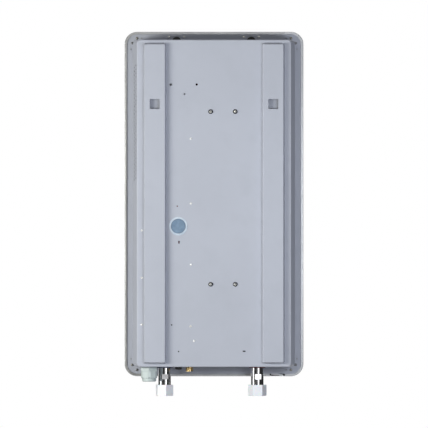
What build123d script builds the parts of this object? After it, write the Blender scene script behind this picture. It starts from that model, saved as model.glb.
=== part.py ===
from build123d import *
import os
from math import cos, floor, pi, sin, sqrt

# A slim wall-hung electric boiler.
# The wall is the plane y = 0 and the boiler hangs in front of it, towards -Y. +Z is up.
# The origin lies on the wall, midway between the two square hanging holes.
# All sizes are in millimetres.

# Sheet metal
sheet = 1.2
bolt_clearance = 0.3
running_gap = 0.3
press_gap = 0.05
hex_flat_turn = 30.0

# Front cover
cover_width = 359.0
cover_height = 692.0
cover_corner_radius = 25.0
cover_top_height = 147.0
cover_lip = 5.0
lip_gap = 0.3
lip_proud = 1.8
lip_rounding = 1.5
frame_depth = 13.0
frame_band = 30.0
frame_wall = 2.5
frame_floor = 4.0
glass_thickness = 4.0
glass_gap = 0.4

# Rear casing, whose flange reaches beyond it by these margins
casing_depth = 100.0
casing_corner_radius = 8.0
casing_fold_radius = 2.0
bevel_width = 8.0
bevel_depth = 16.0
flange_side_margin = 18.0
flange_top_margin = 18.8
flange_bottom_margin = 21.2
cut_reach = 1.0

# Vent holes in the rear bevel
vent_radius = 1.9
vent_pitch = 7.72
vent_count = 30
vent_drop = 51.2
vent_first_column = 4.6
vent_column_step = 7.6

# Wall rails
rail_side_margin = 12.8
rail_end_margin = 7.0
rail_width = 45.4
rail_height = 13.0
rail_corner_radius = 4.0
rail_fold_radius = 1.6
rail_taper = 9.0
hanging_hole_width = 20.0
hanging_hole_radius = 2.0

# Cover screws at the four corners, as insets from the cover's side and end
corner_screws = ((25.0, 13.0), (15.5, 23.0))
corner_locator_holes = ((34.5, 13.0), (13.0, 35.0))
locator_hole_radius = 1.4
small_screw_head_radius = 2.8
small_screw_head_height = 1.6
small_screw_radius = 1.6
small_screw_length = 8.0
screw_boss_wall = 2.4

# Cover hooks in the top flange
hook_spacing = 150.0
hook_radius = 9.0
hook_rim = 2.2
hook_gap = 0.3
hook_screw_offset = 15.0
hook_screw_rise = 8.0

# Power switch in the lower edge of the cover
switch_inset = 52.5
switch_length = 30.0
switch_height = 8.0
switch_depth = 10.0
switch_wall = 1.2
switch_gap = 0.6
rocker_rise = 3.4
rocker_tilt = 7.0
rocker_end_gap = 1.0
rocker_crown = 1.6
rocker_lip = 2.0
rocker_pin_radius = 1.0

# Heating tank on its two saddles
hydraulic_y = -62.0
tank_x = -17.8
tank_radius = 40.0
tank_wall = 2.0
tank_head_room = 120.2
tank_dish = 14.0
dish_arc_reach = 0.7
dish_outer_sag = 0.3
dish_inner_sag = 0.27
tank_mouth_radius = 26.0
saddle_bolt_spacing_x = 48.8
upper_saddle_drop = 23.0
lower_saddle_rise = 26.0
saddle_length = 24.0
saddle_horn = 12.0
band_width = 12.0
band_thickness = 1.2
band_overlap = 8.0
outlet_band_gap = 6.0
tank_bolt_radius = 2.5
tank_bolt_head_radius = 3.0
tank_bolt_head_height = 3.0
tank_bolt_tip_gap = 0.5
tank_washer_radius = 4.6
tank_washer_thickness = 1.2

# Flanged cover of the tank with three hairpin elements
gasket_thickness = 2.0
tank_cover_thickness = 8.0
tank_cover_radius = 36.0
tank_cover_chamfer = 1.0
tank_cover_bolt_count = 6
tank_cover_bolt_circle_radius = 31.0
tank_cover_bolt_radius = 2.5
tank_cover_bolt_head_radius = 4.0
tank_cover_bolt_head_height = 3.5
element_radius = 3.2
element_foot_gap = 65.0
element_bend_slack = 0.5
element_leg_spacing = 22.0
element_row_step = 15.0
element_count = 3
terminal_radius = 2.0
terminal_height = 14.0
terminal_shoulder = 3.0

# Pipes
pipe_radius = 11.0
pipe_wall = 1.0
pipe_bend_radius = 17.0
stub_length = 10.0
return_inset = 62.7
flow_straight_length = 1.8
flow_riser_length = 14.6
return_riser_length = 51.6
discharge_rise = 30.0
vessel_pipe_radius = 5.0
vessel_pipe_bend_radius = 8.0
vessel_pipe_inset = 6.0
vessel_pipe_drop = 12.0
vessel_pipe_slope_height = 24.0
vessel_pipe_rise = 24.0

# Pipe nipples through the bottom, with a G 3/4 thread at the lower end
nipple_radius = 12.6
nipple_bore_radius = 9.5
nipple_reach = 36.8
nipple_collar_radius = 16.0
nipple_collar_height = 3.0
nipple_spigot_height = 15.0
thread_radius = 13.2
thread_length = 16.5
thread_chamfer = 1.0
flat_across = 21.0
flat_height = 10.0
flat_drop = 15.5
flow_flat_turn = 8.0
marker_ring_radius = 16.5
marker_ring_thickness = 2.5
union_nut_across = 30.0
union_nut_height = 14.0

# Protective caps
cap_across = 32.0
cap_floor = 3.5
cap_corner_chamfer = 1.2
cap_washer_thickness = 2.0
return_cap_turn = -19.7
flow_cap_turn = 2.1

# Cable gland M25
gland_inset = 31.9
gland_y = -42.0
gland_thread_radius = 12.5
gland_across = 32.0
gland_collar_height = 8.5
gland_inner_thread_length = 12.0
gland_locknut_height = 6.0
gland_sleeve_radius = 13.5
gland_seal_radius = 11.6
gland_cable_radius = 8.5
gland_mouth_radius = 9.5
gland_nut_height = 14.0
gland_nut_corner_height = 0.9
gland_nut_chamfer = 1.2
gland_dome_height = 7.0
gland_dome_radius = 14.2
gland_seal_height = 12.0

# Pressure relief valve
relief_spacing = 49.6
relief_outlet_radius = 7.2
relief_shank_radius = 6.4
relief_outlet_bore_radius = 4.5
relief_outlet_reach = 10.0
relief_body_radius = 11.0
relief_body_length = 75.0
relief_bonnet_rise = 34.0
relief_bonnet_radius = 12.0
relief_bonnet_length = 26.0
relief_knob_radius = 15.0
relief_knob_length = 17.0
relief_knob_ribs = 10
relief_knob_rib_radius = 1.3
relief_knob_rounding = 1.5
relief_stem_radius = 3.0
relief_stem_length = 12.0

# Rubber bush for the outdoor sensor lead
bush_spacing = 27.6
bush_radius = 6.7
bush_chamfer = 1.5
bush_neck_radius = 4.8
bush_reach = 6.5
bush_bore_radius = 2.5

# Circulation pump
volute_radius = 38.0
volute_depth = 34.0
volute_wall = 7.0
motor_radius = 36.0
motor_depth = 33.0
motor_bore_radius = 15.5
motor_end_wall = 3.0
pump_rounding = 4.0
discharge_drop = 20.0
suction_overlap = 6.0
impeller_radius = 28.0
impeller_disc_thickness = 2.5
impeller_vane_thickness = 1.6
impeller_vane_sweep = 28.0
impeller_thickness = 9.0
impeller_gap = 3.0
impeller_vanes = 6
rotor_core_radius = 14.0
shaft_radius = 3.0
shaft_end_gap = 1.5
pump_mount_radius = 6.0
pump_mount_spacing = 44.0

# Flow sensor
sensor_length = 44.0
sensor_radius = 14.0
sensor_chamfer = 1.5
sensor_bore_gap = 0.8
sensor_plug_width = 14.0
sensor_plug_height = 20.0
sensor_plug_depth = 6.0
turbine_radius = 8.0
turbine_length = 12.0
turbine_hub_radius = 2.6
turbine_vanes = 4
turbine_vane_thickness = 1.0
turbine_vane_twist = 25.0
turbine_end_gap = 0.5
spindle_radius = 1.0
spindle_gap = 0.05
spider_width = 2.0

# Expansion vessel and its charging valve behind the round plug
vessel_side_gap = 37.5
vessel_pump_gap = 17.0
vessel_bracket_gap = 2.0
vessel_width = 70.0
vessel_depth = 48.0
vessel_back_gap = 4.0
vessel_corner_radius = 16.0
vessel_taper = 12.0
vessel_seam = 2.0
valve_offset = 17.8
valve_rise = 106.8
valve_radius = 4.0
plug_radius = 14.9
plug_ring_radius = 18.4
plug_proud = 1.6
plug_neck_gap = 0.3
plug_skirt = 3.0
top_strap_drop = 16.8
valve_strap_rise = 45.2
bottom_strap_rise = 30.0
strap_width = 14.0
strap_foot = 12.0
rivet_radius = 2.4
rivet_height = 1.0
rivet_shank_radius = 1.6
strap_rivet_gap = 8.0
side_rivet_inset = 9.9
side_rivet_rises = (271.8, 177.8, 84.4)
low_rivets = ((46.4, 81.0), (39.4, 51.8))

# Small holes in the back panel, as (x, drop below the top or rise above the bottom, radius)
upper_panel_holes = ((86.0, 89.2, 2.3), (34.4, 89.2, 2.3), (58.6, 108.4, 1.5))
lower_panel_holes = ((73.2, 320.4, 1.4), (84.4, 83.8, 1.4), (70.6, 30.8, 1.4))
panel_slots = ((69.8, 248.6, 6.0, 90.0), (-60.0, 31.4, 6.0, 0.0))
panel_slot_width = 2.6

# Control electronics on a folded bracket
bracket_side_gap = 11.5
bracket_head_room = 18.2
bracket_height = 150.0
bracket_width = 100.0
bracket_front = 66.0
bracket_foot = 10.0
bracket_bend = 2.0
standoff_radius = 3.0
standoff_height = 5.0
board_margin = 4.0
board_thickness = 1.6
relay_width = 20.0
relay_depth = 16.0
relay_height = 28.0
relay_chamfer = 0.8
relay_gap = 3.0
relay_margin = 4.0
relay_head_room = 12.0
relay_count = 3
capacitor_radius = 6.0
capacitor_height = 14.0
transformer_width = 26.0
transformer_height = 20.0
transformer_depth = 10.0
connector_width = 64.4
connector_height = 8.0
connector_depth = 9.0
sink_width = 80.0
sink_height = 90.0
sink_base = 4.0
sink_fin_height = 24.0
sink_fin_thickness = 2.0
sink_fin_count = 8
wire_radius = 1.6
wire_bend_radius = 5.0
wire_step = 6.0

# Mains terminal block on its stand, above the gland
block_side_gap = 8.5
block_width = 34.0
block_height = 28.0
block_depth = 17.0
block_rise = 24.6
block_ways = 4
block_wire_radius = 2.4
block_wire_depth = 8.0
block_screw_radius = 2.0
block_screw_drop = 11.0
block_screw_depth = 11.0
stand_y = -88.0
stand_foot = 18.0

# Display behind the glass
display_width = 96.0
display_height = 56.0
display_thickness = 4.0
display_drop = 187.0
display_corner_radius = 3.0
display_plug_height = 8.0

# Other small fittings inside
air_vent_radius = 7.0
air_vent_height = 36.0
air_vent_gap = 1.5
air_vent_chamfer = 2.0
air_vent_nozzle_height = 4.0
thermostat_radius = 9.0
thermostat_height = 8.0
thermostat_prong_radius = 1.2
thermostat_prong_spacing = 8.0
thermostat_prong_length = 5.0

# Planes and centres that follow from the sizes above
casing_back = -rail_height
panel_front = casing_back - sheet
flange_front = casing_back - casing_depth
flange_rear = flange_front + sheet
frame_front = flange_front - frame_depth
lip_rear = flange_rear + lip_proud
glass_front = frame_front - glass_thickness
cover_z = cover_top_height - cover_height / 2
cover_bottom = cover_top_height - cover_height
casing_top = cover_top_height - flange_top_margin
casing_bottom = cover_bottom + flange_bottom_margin
casing_height = casing_top - casing_bottom
casing_z = (casing_top + casing_bottom) / 2
casing_front_width = cover_width - 2 * flange_side_margin
casing_back_width = casing_front_width - 2 * bevel_width
casing_side = casing_front_width / 2
floor_z = casing_bottom + sheet
rail_spacing = casing_back_width - rail_width - 2 * rail_side_margin
rail_length = casing_height - 2 * rail_end_margin
switch_x = switch_inset - cover_width / 2
flange_width = cover_width - 2 * (cover_lip + lip_gap)
flange_height = cover_height - 2 * (cover_lip + lip_gap)
flange_corner_radius = cover_corner_radius - cover_lip - lip_gap
nipple_end = casing_bottom - nipple_reach - thread_length
nipple_top = floor_z + nipple_collar_height + nipple_spigot_height
pump_z = nipple_top + return_riser_length + stub_length + volute_radius
discharge_z = pump_z - discharge_drop
tank_bottom = discharge_z + discharge_rise + stub_length
tank_top = casing_top - tank_head_room
upper_saddle_z = tank_top - upper_saddle_drop
lower_saddle_z = tank_bottom + lower_saddle_rise
tank_bolt_seat = casing_back + tank_washer_thickness
tank_back_at_bolts = hydraulic_y + sqrt(tank_radius**2 - (saddle_bolt_spacing_x / 2 - tank_bolt_radius) ** 2)
# The bolts come in whole millimetres and stop short of the tank
tank_bolt_length = floor(tank_bolt_seat - tank_back_at_bolts - tank_bolt_tip_gap)
return_x = casing_side - return_inset
flow_x = tank_x - tank_radius - stub_length - pipe_bend_radius - flow_straight_length
gland_x = casing_side - gland_inset
relief_x = return_x - relief_spacing
relief_body_bottom = discharge_z - relief_body_length
relief_bonnet_z = relief_body_bottom + relief_bonnet_rise
bush_x = return_x - bush_spacing
sensor_bottom = nipple_top + flow_riser_length
bracket_left = casing_side - bracket_side_gap - bracket_width
bracket_top = casing_top - bracket_head_room
bracket_bottom = bracket_top - bracket_height
vessel_left = casing_side - vessel_side_gap - vessel_width
vessel_top = bracket_bottom - bracket_foot - vessel_bracket_gap
vessel_bottom = pump_z + volute_radius + vessel_pump_gap
vessel_height = vessel_top - vessel_bottom
valve_x = vessel_left + vessel_width / 2 - valve_offset
valve_z = vessel_bottom + valve_rise
strap_heights = (vessel_top - top_strap_drop, valve_z + valve_strap_rise, vessel_bottom + bottom_strap_rise)
rivet_column_x = vessel_left - strap_rivet_gap
block_left = casing_side - block_side_gap - block_width
block_bottom = floor_z + block_rise
volute_back = hydraulic_y + volute_depth / 2
volute_front = hydraulic_y - volute_depth / 2
motor_front = volute_front - motor_depth
tank_cover_bottom = tank_top + gasket_thickness
tank_cover_top = tank_cover_bottom + tank_cover_thickness


def facing(y):
    """The plane at depth y, parallel to the wall and looking into the room."""
    return Plane.XZ.offset(-y)


def slab(outline, x, z, rear, thickness):
    """An outline drawn as seen from the front, thickened towards the room."""
    return extrude(facing(rear) * Pos(x, z) * outline, amount=thickness)


def rod(radius, start, direction, length):
    """A round bar from a point along a direction."""
    bar = Cylinder(radius, length, align=(Align.CENTER, Align.CENTER, Align.MIN))
    return Plane(origin=start, z_dir=direction) * bar


def upright(radius, x, y, bottom, top):
    """A round bar standing along Z."""
    return rod(radius, (x, y, bottom), (0, 0, 1), top - bottom)


def outward(radius, x, z, rear, front):
    """A round bar lying along Y, from its rear end to its front end."""
    return rod(radius, (x, rear, z), (0, -1, 0), rear - front)


def hex_bar(across, x, y, bottom, top, turn=0.0):
    """A hexagonal bar standing along Z, with a corner along +X before the turn."""
    outline = RegularPolygon(across / 2, 6, major_radius=False)
    bar = extrude(outline, amount=top - bottom)
    return Pos(x, y, bottom) * Rot(0, 0, turn) * bar


def box_between(low, high):
    """A plain block between two corners."""
    size = [high[i] - low[i] for i in range(3)]
    middle = [(high[i] + low[i]) / 2 for i in range(3)]
    return Pos(*middle) * Box(*size)


def bent_bar(points, radius, bend_radius):
    """A round bar along straight runs joined by arcs."""
    path = FilletPolyline(*points, radius=bend_radius)
    section = Plane(origin=path @ 0, z_dir=path % 0) * Circle(radius)
    return sweep(section, path=path)


def bent_pipe(points, radius, wall, bend_radius):
    """A pipe along straight runs joined by arcs."""
    return bent_bar(points, radius, bend_radius) - bent_bar(points, radius - wall, bend_radius)


def straight_pipe(x, bottom, top):
    """An upright length of water pipe in the hydraulic plane."""
    outside = upright(pipe_radius, x, hydraulic_y, bottom, top)
    return outside - upright(pipe_radius - pipe_wall, x, hydraulic_y, bottom, top)


def group(solids):
    """Several separate solids kept together as one sub-part."""
    return Compound(children=[solid for piece in solids for solid in piece.solids()])


def mirrored_corners(points):
    """The four corner places of each point, which is inset from the cover's side and end."""
    return [
        (side * (cover_width / 2 - x), cover_z + level * (cover_height / 2 - z))
        for x, z in points
        for side in (-1, 1)
        for level in (-1, 1)
    ]


def hook_screw_places():
    """The two screws beside each cover hook."""
    height = casing_top + hook_screw_rise
    return [
        (side * hook_spacing / 2 + offset, height)
        for side in (-1, 1)
        for offset in (-hook_screw_offset, hook_screw_offset)
    ]


def casing_envelope(inset):
    """The casing's outer form, or its hollow when it is inset by the sheet."""
    back = casing_back - inset
    bevel_end = casing_back - bevel_depth
    height = casing_height - 2 * inset
    radius = casing_corner_radius - inset
    rear_outline = facing(back) * Pos(0, casing_z) * RectangleRounded(
        casing_back_width - 2 * inset, height, radius
    )
    wide = RectangleRounded(casing_front_width - 2 * inset, height, radius)
    bevel_outline = facing(bevel_end) * Pos(0, casing_z) * wide
    bevel = loft([rear_outline, bevel_outline], ruled=True)
    form = bevel + slab(wide, 0, casing_z, bevel_end, casing_depth - bevel_depth)
    return fillet(form.faces().sort_by(Axis.Y)[-1].edges(), casing_fold_radius - inset)


def vent_cutters():
    """Two staggered columns of round holes, square to the sheet of one rear bevel."""
    slope = sqrt(bevel_width**2 + bevel_depth**2)
    normal = (bevel_depth / slope, bevel_width / slope, 0)
    cutters = []
    for column in range(2):
        along = vent_first_column + column * vent_column_step
        x = casing_back_width / 2 + along * bevel_width / slope
        y = casing_back - along * bevel_depth / slope
        for row in range(vent_count):
            z = casing_top - vent_drop - (row + column / 2) * vent_pitch
            start = (x - 3 * sheet * normal[0], y - 3 * sheet * normal[1], z)
            cutters.append(rod(vent_radius, start, normal, 6 * sheet))
    return cutters


def rivet_places():
    """Every rivet in the back panel: those of the straps, of the side column and two low ones."""
    straps = [(rivet_column_x, z) for z in strap_heights]
    sides = [(casing_back_width / 2 - side_rivet_inset, casing_bottom + rise) for rise in side_rivet_rises]
    return straps + sides + [(x, casing_bottom + rise) for x, rise in low_rivets]


def tank_bolt_places():
    """Two bolts through the back panel into each tank saddle."""
    half = saddle_bolt_spacing_x / 2
    return [(tank_x + side * half, z) for z in (upper_saddle_z, lower_saddle_z) for side in (-1, 1)]


def panel_cutters():
    """Everything that is cut through the back panel."""
    rear = casing_back + cut_reach
    front = panel_front - cut_reach
    cutters = [outward(radius, x, casing_top - drop, rear, front) for x, drop, radius in upper_panel_holes]
    for x, rise, radius in lower_panel_holes:
        cutters.append(outward(radius, x, casing_bottom + rise, rear, front))
    for x, rise, length, turn in panel_slots:
        outline = Rot(0, 0, turn) * SlotOverall(length, panel_slot_width)
        cutters.append(slab(outline, x, casing_bottom + rise, rear, rear - front))
    for x, z in tank_bolt_places():
        cutters.append(outward(tank_bolt_radius + bolt_clearance, x, z, rear, front))
    for x, z in rivet_places():
        cutters.append(outward(rivet_shank_radius + press_gap, x, z, rear, front))
    cutters.append(outward(plug_radius - plug_neck_gap, valve_x, valve_z, rear, front))
    return cutters


def floor_cutters():
    """The holes in the casing's bottom."""
    below = casing_bottom - cut_reach
    above = floor_z + cut_reach
    pipes = [
        upright(nipple_radius + bolt_clearance, x, hydraulic_y, below, above)
        for x in (return_x, flow_x)
    ]
    gland = upright(gland_thread_radius + bolt_clearance, gland_x, gland_y, below, above)
    relief = upright(relief_shank_radius + bolt_clearance, relief_x, hydraulic_y, below, above)
    bush = upright(bush_neck_radius + bolt_clearance, bush_x, hydraulic_y, below, above)
    return pipes + [gland, relief, bush]


def flange_cutters():
    """Screw holes, locator holes and the two half-round hook openings in the flange."""
    rear = flange_rear + cut_reach
    front = flange_front - cut_reach
    screws = mirrored_corners(corner_screws) + hook_screw_places()
    cutters = [outward(small_screw_radius + bolt_clearance, x, z, rear, front) for x, z in screws]
    for x, z in mirrored_corners(corner_locator_holes):
        cutters.append(outward(locator_hole_radius, x, z, rear, front))
    for side in (-1, 1):
        opening = outward(hook_radius, side * hook_spacing / 2, casing_top, rear, front)
        low = (side * hook_spacing / 2 - 2 * hook_radius, front, casing_top)
        high = (side * hook_spacing / 2 + 2 * hook_radius, rear, casing_top + 2 * hook_radius)
        cutters.append(opening & box_between(low, high))
    return cutters


def make_rear_casing():
    """A folded tray, open at the front, with a flange all round its mouth."""
    mouth = RectangleRounded(
        casing_front_width - 2 * sheet, casing_height - 2 * sheet, casing_corner_radius - sheet
    )
    flange = slab(
        RectangleRounded(flange_width, flange_height, flange_corner_radius),
        0, cover_z, flange_rear, sheet,
    )
    flange -= slab(mouth, 0, casing_z, flange_rear + cut_reach, sheet + 2 * cut_reach)
    tray = casing_envelope(0) - casing_envelope(sheet) + flange
    return tray - panel_cutters() - floor_cutters() - flange_cutters() - vent_cutters()


def make_wall_rail(side):
    """A raised hat section with tapered flanks, closed ends and a square hanging hole."""
    foot = Plane(
        origin=(side * rail_spacing / 2, casing_back, casing_z), x_dir=(1, 0, 0), z_dir=(0, 1, 0)
    )
    outside = extrude(
        foot * RectangleRounded(rail_width, rail_length, rail_corner_radius),
        amount=rail_height, taper=rail_taper,
    )
    crown = outside.faces().sort_by(Axis.Y)[-1]
    outside = fillet(crown.edges(), rail_fold_radius)
    inside = extrude(
        foot * RectangleRounded(
            rail_width - 2 * sheet, rail_length - 2 * sheet, rail_corner_radius - sheet
        ),
        amount=rail_height - sheet, taper=rail_taper,
    )
    hole = slab(
        RectangleRounded(hanging_hole_width, hanging_hole_width, hanging_hole_radius),
        side * rail_spacing / 2, 0, cut_reach, 2 * sheet + cut_reach,
    )
    return outside - inside - hole


def switch_pocket(clearance):
    """The space for the power switch, open at the lower edge of the cover."""
    half = switch_length / 2 + clearance
    low = (switch_x - half, flange_front - switch_depth - clearance, cover_bottom - cut_reach)
    high = (switch_x + half, lip_rear + cut_reach, cover_bottom + switch_height + clearance)
    return box_between(low, high)


def make_front_frame():
    """A moulded bezel: a rounded rim, a rabbet for the flange and a recess for the glass."""
    outline = RectangleRounded(cover_width, cover_height, cover_corner_radius)
    frame = slab(outline, 0, cover_z, lip_rear, lip_rear - glass_front)
    frame = fillet(frame.faces().sort_by(Axis.Y)[-1].edges(), lip_rounding)
    rabbet = RectangleRounded(
        cover_width - 2 * cover_lip, cover_height - 2 * cover_lip, cover_corner_radius - cover_lip
    )
    frame -= slab(rabbet, 0, cover_z, lip_rear + cut_reach, lip_rear + cut_reach - flange_front)
    recess = RectangleRounded(
        cover_width - 2 * frame_wall, cover_height - 2 * frame_wall, cover_corner_radius - frame_wall
    )
    frame -= slab(recess, 0, cover_z, frame_front, glass_thickness + cut_reach)
    opening = RectangleRounded(
        cover_width - 2 * frame_band, cover_height - 2 * frame_band, casing_corner_radius
    )
    frame -= slab(opening, 0, cover_z, lip_rear + cut_reach, cover_height)
    outer_side = cover_lip + frame_wall
    inner_side = frame_band - frame_wall
    channel = RectangleRounded(
        cover_width - 2 * outer_side, cover_height - 2 * outer_side, cover_corner_radius - outer_side
    )
    channel -= RectangleRounded(
        cover_width - 2 * inner_side, cover_height - 2 * inner_side, casing_corner_radius + frame_wall
    )
    channel_depth = frame_depth - frame_floor
    groove = slab(channel, 0, cover_z, flange_front, channel_depth)
    screws = mirrored_corners(corner_screws) + hook_screw_places()
    for x, z in screws:
        groove -= outward(small_screw_radius + screw_boss_wall, x, z, flange_front, frame_front)
    groove -= switch_pocket(frame_wall)
    frame -= groove
    pilot_radius = small_screw_radius + press_gap
    pilot_end = flange_front - small_screw_length
    pilots = [outward(pilot_radius, x, z, flange_front + cut_reach, pilot_end) for x, z in screws]
    return frame - pilots - switch_pocket(0)


def make_front_glass():
    """A flat tempered panel in the recess of the frame."""
    inset = frame_wall + glass_gap
    outline = RectangleRounded(
        cover_width - 2 * inset, cover_height - 2 * inset, cover_corner_radius - inset
    )
    return slab(outline, 0, cover_z, frame_front, glass_thickness)


def make_small_screws(places):
    """Domed cross-head screws through the flange into the frame."""
    head_top = flange_rear + small_screw_head_height
    screws = []
    for x, z in places:
        head = outward(small_screw_head_radius, x, z, head_top, flange_rear)
        head = chamfer(head.faces().sort_by(Axis.Y)[-1].edges(), small_screw_head_height / 2)
        shank = outward(small_screw_radius, x, z, flange_rear, head_top - small_screw_length)
        screws.append(head + shank)
    return group(screws)


def make_cover_hooks():
    """Half-round black hooks that fill the rim of the flange's top openings."""
    hooks = []
    for side in (-1, 1):
        x = side * hook_spacing / 2
        radius = hook_radius - hook_gap
        arch = outward(radius, x, casing_top, flange_rear + hook_rim, flange_front)
        hollow_rear = flange_rear + hook_rim + cut_reach
        arch -= outward(radius - hook_rim, x, casing_top, hollow_rear, flange_front + sheet / 2)
        peg = outward(hook_rim / 2, x, casing_top + hook_rim, flange_rear + hook_rim, flange_front)
        low = (x - hook_radius, flange_front, casing_top + hook_gap)
        high = (x + hook_radius, flange_rear + hook_rim, casing_top + hook_radius)
        hooks.append((arch + peg) & box_between(low, high))
    return group(hooks)


def make_panel_rivets():
    """Domed blind rivets."""
    rivets = []
    for x, z in rivet_places():
        head = outward(rivet_radius, x, z, casing_back + rivet_height, casing_back)
        head = fillet(head.faces().sort_by(Axis.Y)[-1].edges(), 0.8 * rivet_height)
        rivets.append(head + outward(rivet_shank_radius, x, z, casing_back, panel_front))
    return group(rivets)


def make_valve_plug():
    """A round blanking plug: a rim on the panel, a raised middle and a skirt through the hole."""
    rim = outward(plug_ring_radius, valve_x, valve_z, casing_back + plug_proud / 2, casing_back)
    middle = outward(plug_radius, valve_x, valve_z, casing_back + plug_proud, casing_back)
    middle = fillet(middle.faces().sort_by(Axis.Y)[-1].edges(), plug_proud / 2.5)
    neck = plug_radius - 2 * plug_neck_gap
    skirt = outward(neck, valve_x, valve_z, casing_back, casing_back - plug_skirt)
    skirt -= outward(neck - sheet, valve_x, valve_z, casing_back, casing_back - plug_skirt)
    return rim + middle + skirt


def make_tank_bolts():
    """Bolts from the back of the panel into the tank saddles."""
    head_top = tank_bolt_seat + tank_bolt_head_height
    tip = tank_bolt_seat - tank_bolt_length
    bolts = []
    for x, z in tank_bolt_places():
        head = outward(tank_bolt_head_radius, x, z, head_top, tank_bolt_seat)
        head = fillet(head.faces().sort_by(Axis.Y)[-1].edges(), tank_bolt_head_height / 3)
        bolts.append(head + outward(tank_bolt_radius, x, z, tank_bolt_seat, tip))
    return group(bolts)


def make_tank_washers():
    """Dark washers under the tank bolts."""
    washers = []
    for x, z in tank_bolt_places():
        disc = outward(tank_washer_radius, x, z, tank_bolt_seat, casing_back)
        hole = outward(tank_bolt_radius + bolt_clearance, x, z, tank_bolt_seat, casing_back)
        washers.append(disc - hole)
    return group(washers)


def make_nipple(x, flat_turn):
    """A chromed pipe end: spigot and collar inside, shank with two flats and a thread outside."""
    shank_end = casing_bottom - nipple_reach
    body = upright(nipple_radius, x, hydraulic_y, shank_end, floor_z)
    body += upright(nipple_collar_radius, x, hydraulic_y, floor_z, floor_z + nipple_collar_height)
    body += upright(pipe_radius, x, hydraulic_y, floor_z, nipple_top)
    thread = upright(thread_radius, x, hydraulic_y, nipple_end, shank_end)
    body += chamfer(thread.faces().sort_by(Axis.Z)[0].edges(), thread_chamfer)
    flat_top = casing_bottom - flat_drop
    for side in (-1, 1):
        slice_depth = nipple_radius
        middle = side * (flat_across + slice_depth) / 2
        cut = Pos(0, middle, 0) * Box(3 * nipple_radius, slice_depth, flat_height)
        body -= Pos(x, hydraulic_y, flat_top - flat_height / 2) * Rot(0, 0, flat_turn) * cut
    return body - upright(nipple_bore_radius, x, hydraulic_y, nipple_end, nipple_top)


def make_marker_ring(x):
    """A coloured round lock ring on the nipple, against the bottom of the casing."""
    top = casing_bottom
    bottom = casing_bottom - marker_ring_thickness
    ring = upright(marker_ring_radius, x, hydraulic_y, bottom, top)
    return ring - upright(nipple_radius + press_gap, x, hydraulic_y, bottom, top)


def make_cap(x, turn):
    """A hexagonal plastic cap, open at the top and closed at the bottom."""
    top = nipple_end + thread_length
    bottom = cap_washer_bottom() - cap_floor
    shape = hex_bar(cap_across, x, hydraulic_y, bottom, top, turn)
    round_bar = upright(cap_across / sqrt(3) + 0.1, x, hydraulic_y, bottom, top)
    shape &= chamfer(round_bar.faces().sort_by(Axis.Z)[0].edges(), cap_corner_chamfer)
    return shape - upright(thread_radius + running_gap, x, hydraulic_y, cap_washer_bottom(), top)


def cap_washer_bottom():
    """The level of the cap's inner floor, on which its washer lies."""
    return nipple_end - cap_washer_thickness


def make_cap_washer(x):
    """A flat sealing disc between the cap's floor and the end of the nipple."""
    return upright(thread_radius - running_gap, x, hydraulic_y, cap_washer_bottom(), nipple_end)


def make_union_nuts():
    """Hexagon nuts that join the pipes to the nipples."""
    middle = nipple_top
    nuts = []
    for x in (return_x, flow_x):
        low = middle - union_nut_height / 2
        high = middle + union_nut_height / 2
        nut = hex_bar(union_nut_across, x, hydraulic_y, low, high, hex_flat_turn)
        nuts.append(nut - upright(pipe_radius + press_gap, x, hydraulic_y, low, high))
    return group(nuts)


def gland_levels():
    """The levels of the gland's collar, sleeve, seal and nut, from the top down."""
    collar_bottom = casing_bottom - gland_collar_height
    nut_top = collar_bottom - running_gap
    shoulder = nut_top - gland_nut_height
    return collar_bottom, nut_top, shoulder, shoulder - gland_dome_height


def make_gland_body():
    """Collar against the casing, thread through it and a sleeve for the seal below."""
    collar_bottom, nut_top, shoulder, end = gland_levels()
    top = floor_z + gland_inner_thread_length
    sleeve_end = shoulder + running_gap
    seal_seat = shoulder + gland_seal_height
    body = hex_bar(gland_across, gland_x, gland_y, collar_bottom, casing_bottom, hex_flat_turn)
    body += upright(gland_thread_radius, gland_x, gland_y, casing_bottom, top)
    body += upright(gland_sleeve_radius, gland_x, gland_y, sleeve_end, collar_bottom)
    body -= upright(gland_mouth_radius, gland_x, gland_y, seal_seat, top)
    return body - upright(gland_seal_radius + running_gap, gland_x, gland_y, sleeve_end, seal_seat)


def make_gland_locknut():
    """The nut inside the casing that holds the gland."""
    top = floor_z + gland_locknut_height
    nut = hex_bar(gland_across, gland_x, gland_y, floor_z, top)
    return nut - upright(gland_thread_radius + press_gap, gland_x, gland_y, floor_z, top)


def make_gland_seal():
    """The rubber sleeve that grips a cable."""
    shoulder = gland_levels()[2]
    top = shoulder + gland_seal_height - running_gap
    seal = upright(gland_seal_radius, gland_x, gland_y, shoulder, top)
    return seal - upright(gland_cable_radius, gland_x, gland_y, shoulder, top)


def make_gland_nut():
    """The clamping nut with its rounded end."""
    collar_bottom, nut_top, shoulder, end = gland_levels()
    shape = hex_bar(gland_across, gland_x, gland_y, shoulder, nut_top, hex_flat_turn)
    round_limit = upright(gland_across / 2 + gland_nut_corner_height, gland_x, gland_y, shoulder, nut_top)
    round_limit = chamfer(round_limit.faces().sort_by(Axis.Z)[0].edges(), gland_nut_chamfer)
    shape &= round_limit
    dome = upright(gland_dome_radius, gland_x, gland_y, end, shoulder)
    shape += fillet(dome.faces().sort_by(Axis.Z)[0].edges(), gland_dome_height / 3)
    shape -= upright(gland_sleeve_radius + running_gap, gland_x, gland_y, shoulder, nut_top)
    return shape - upright(gland_mouth_radius, gland_x, gland_y, end, shoulder)


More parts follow.
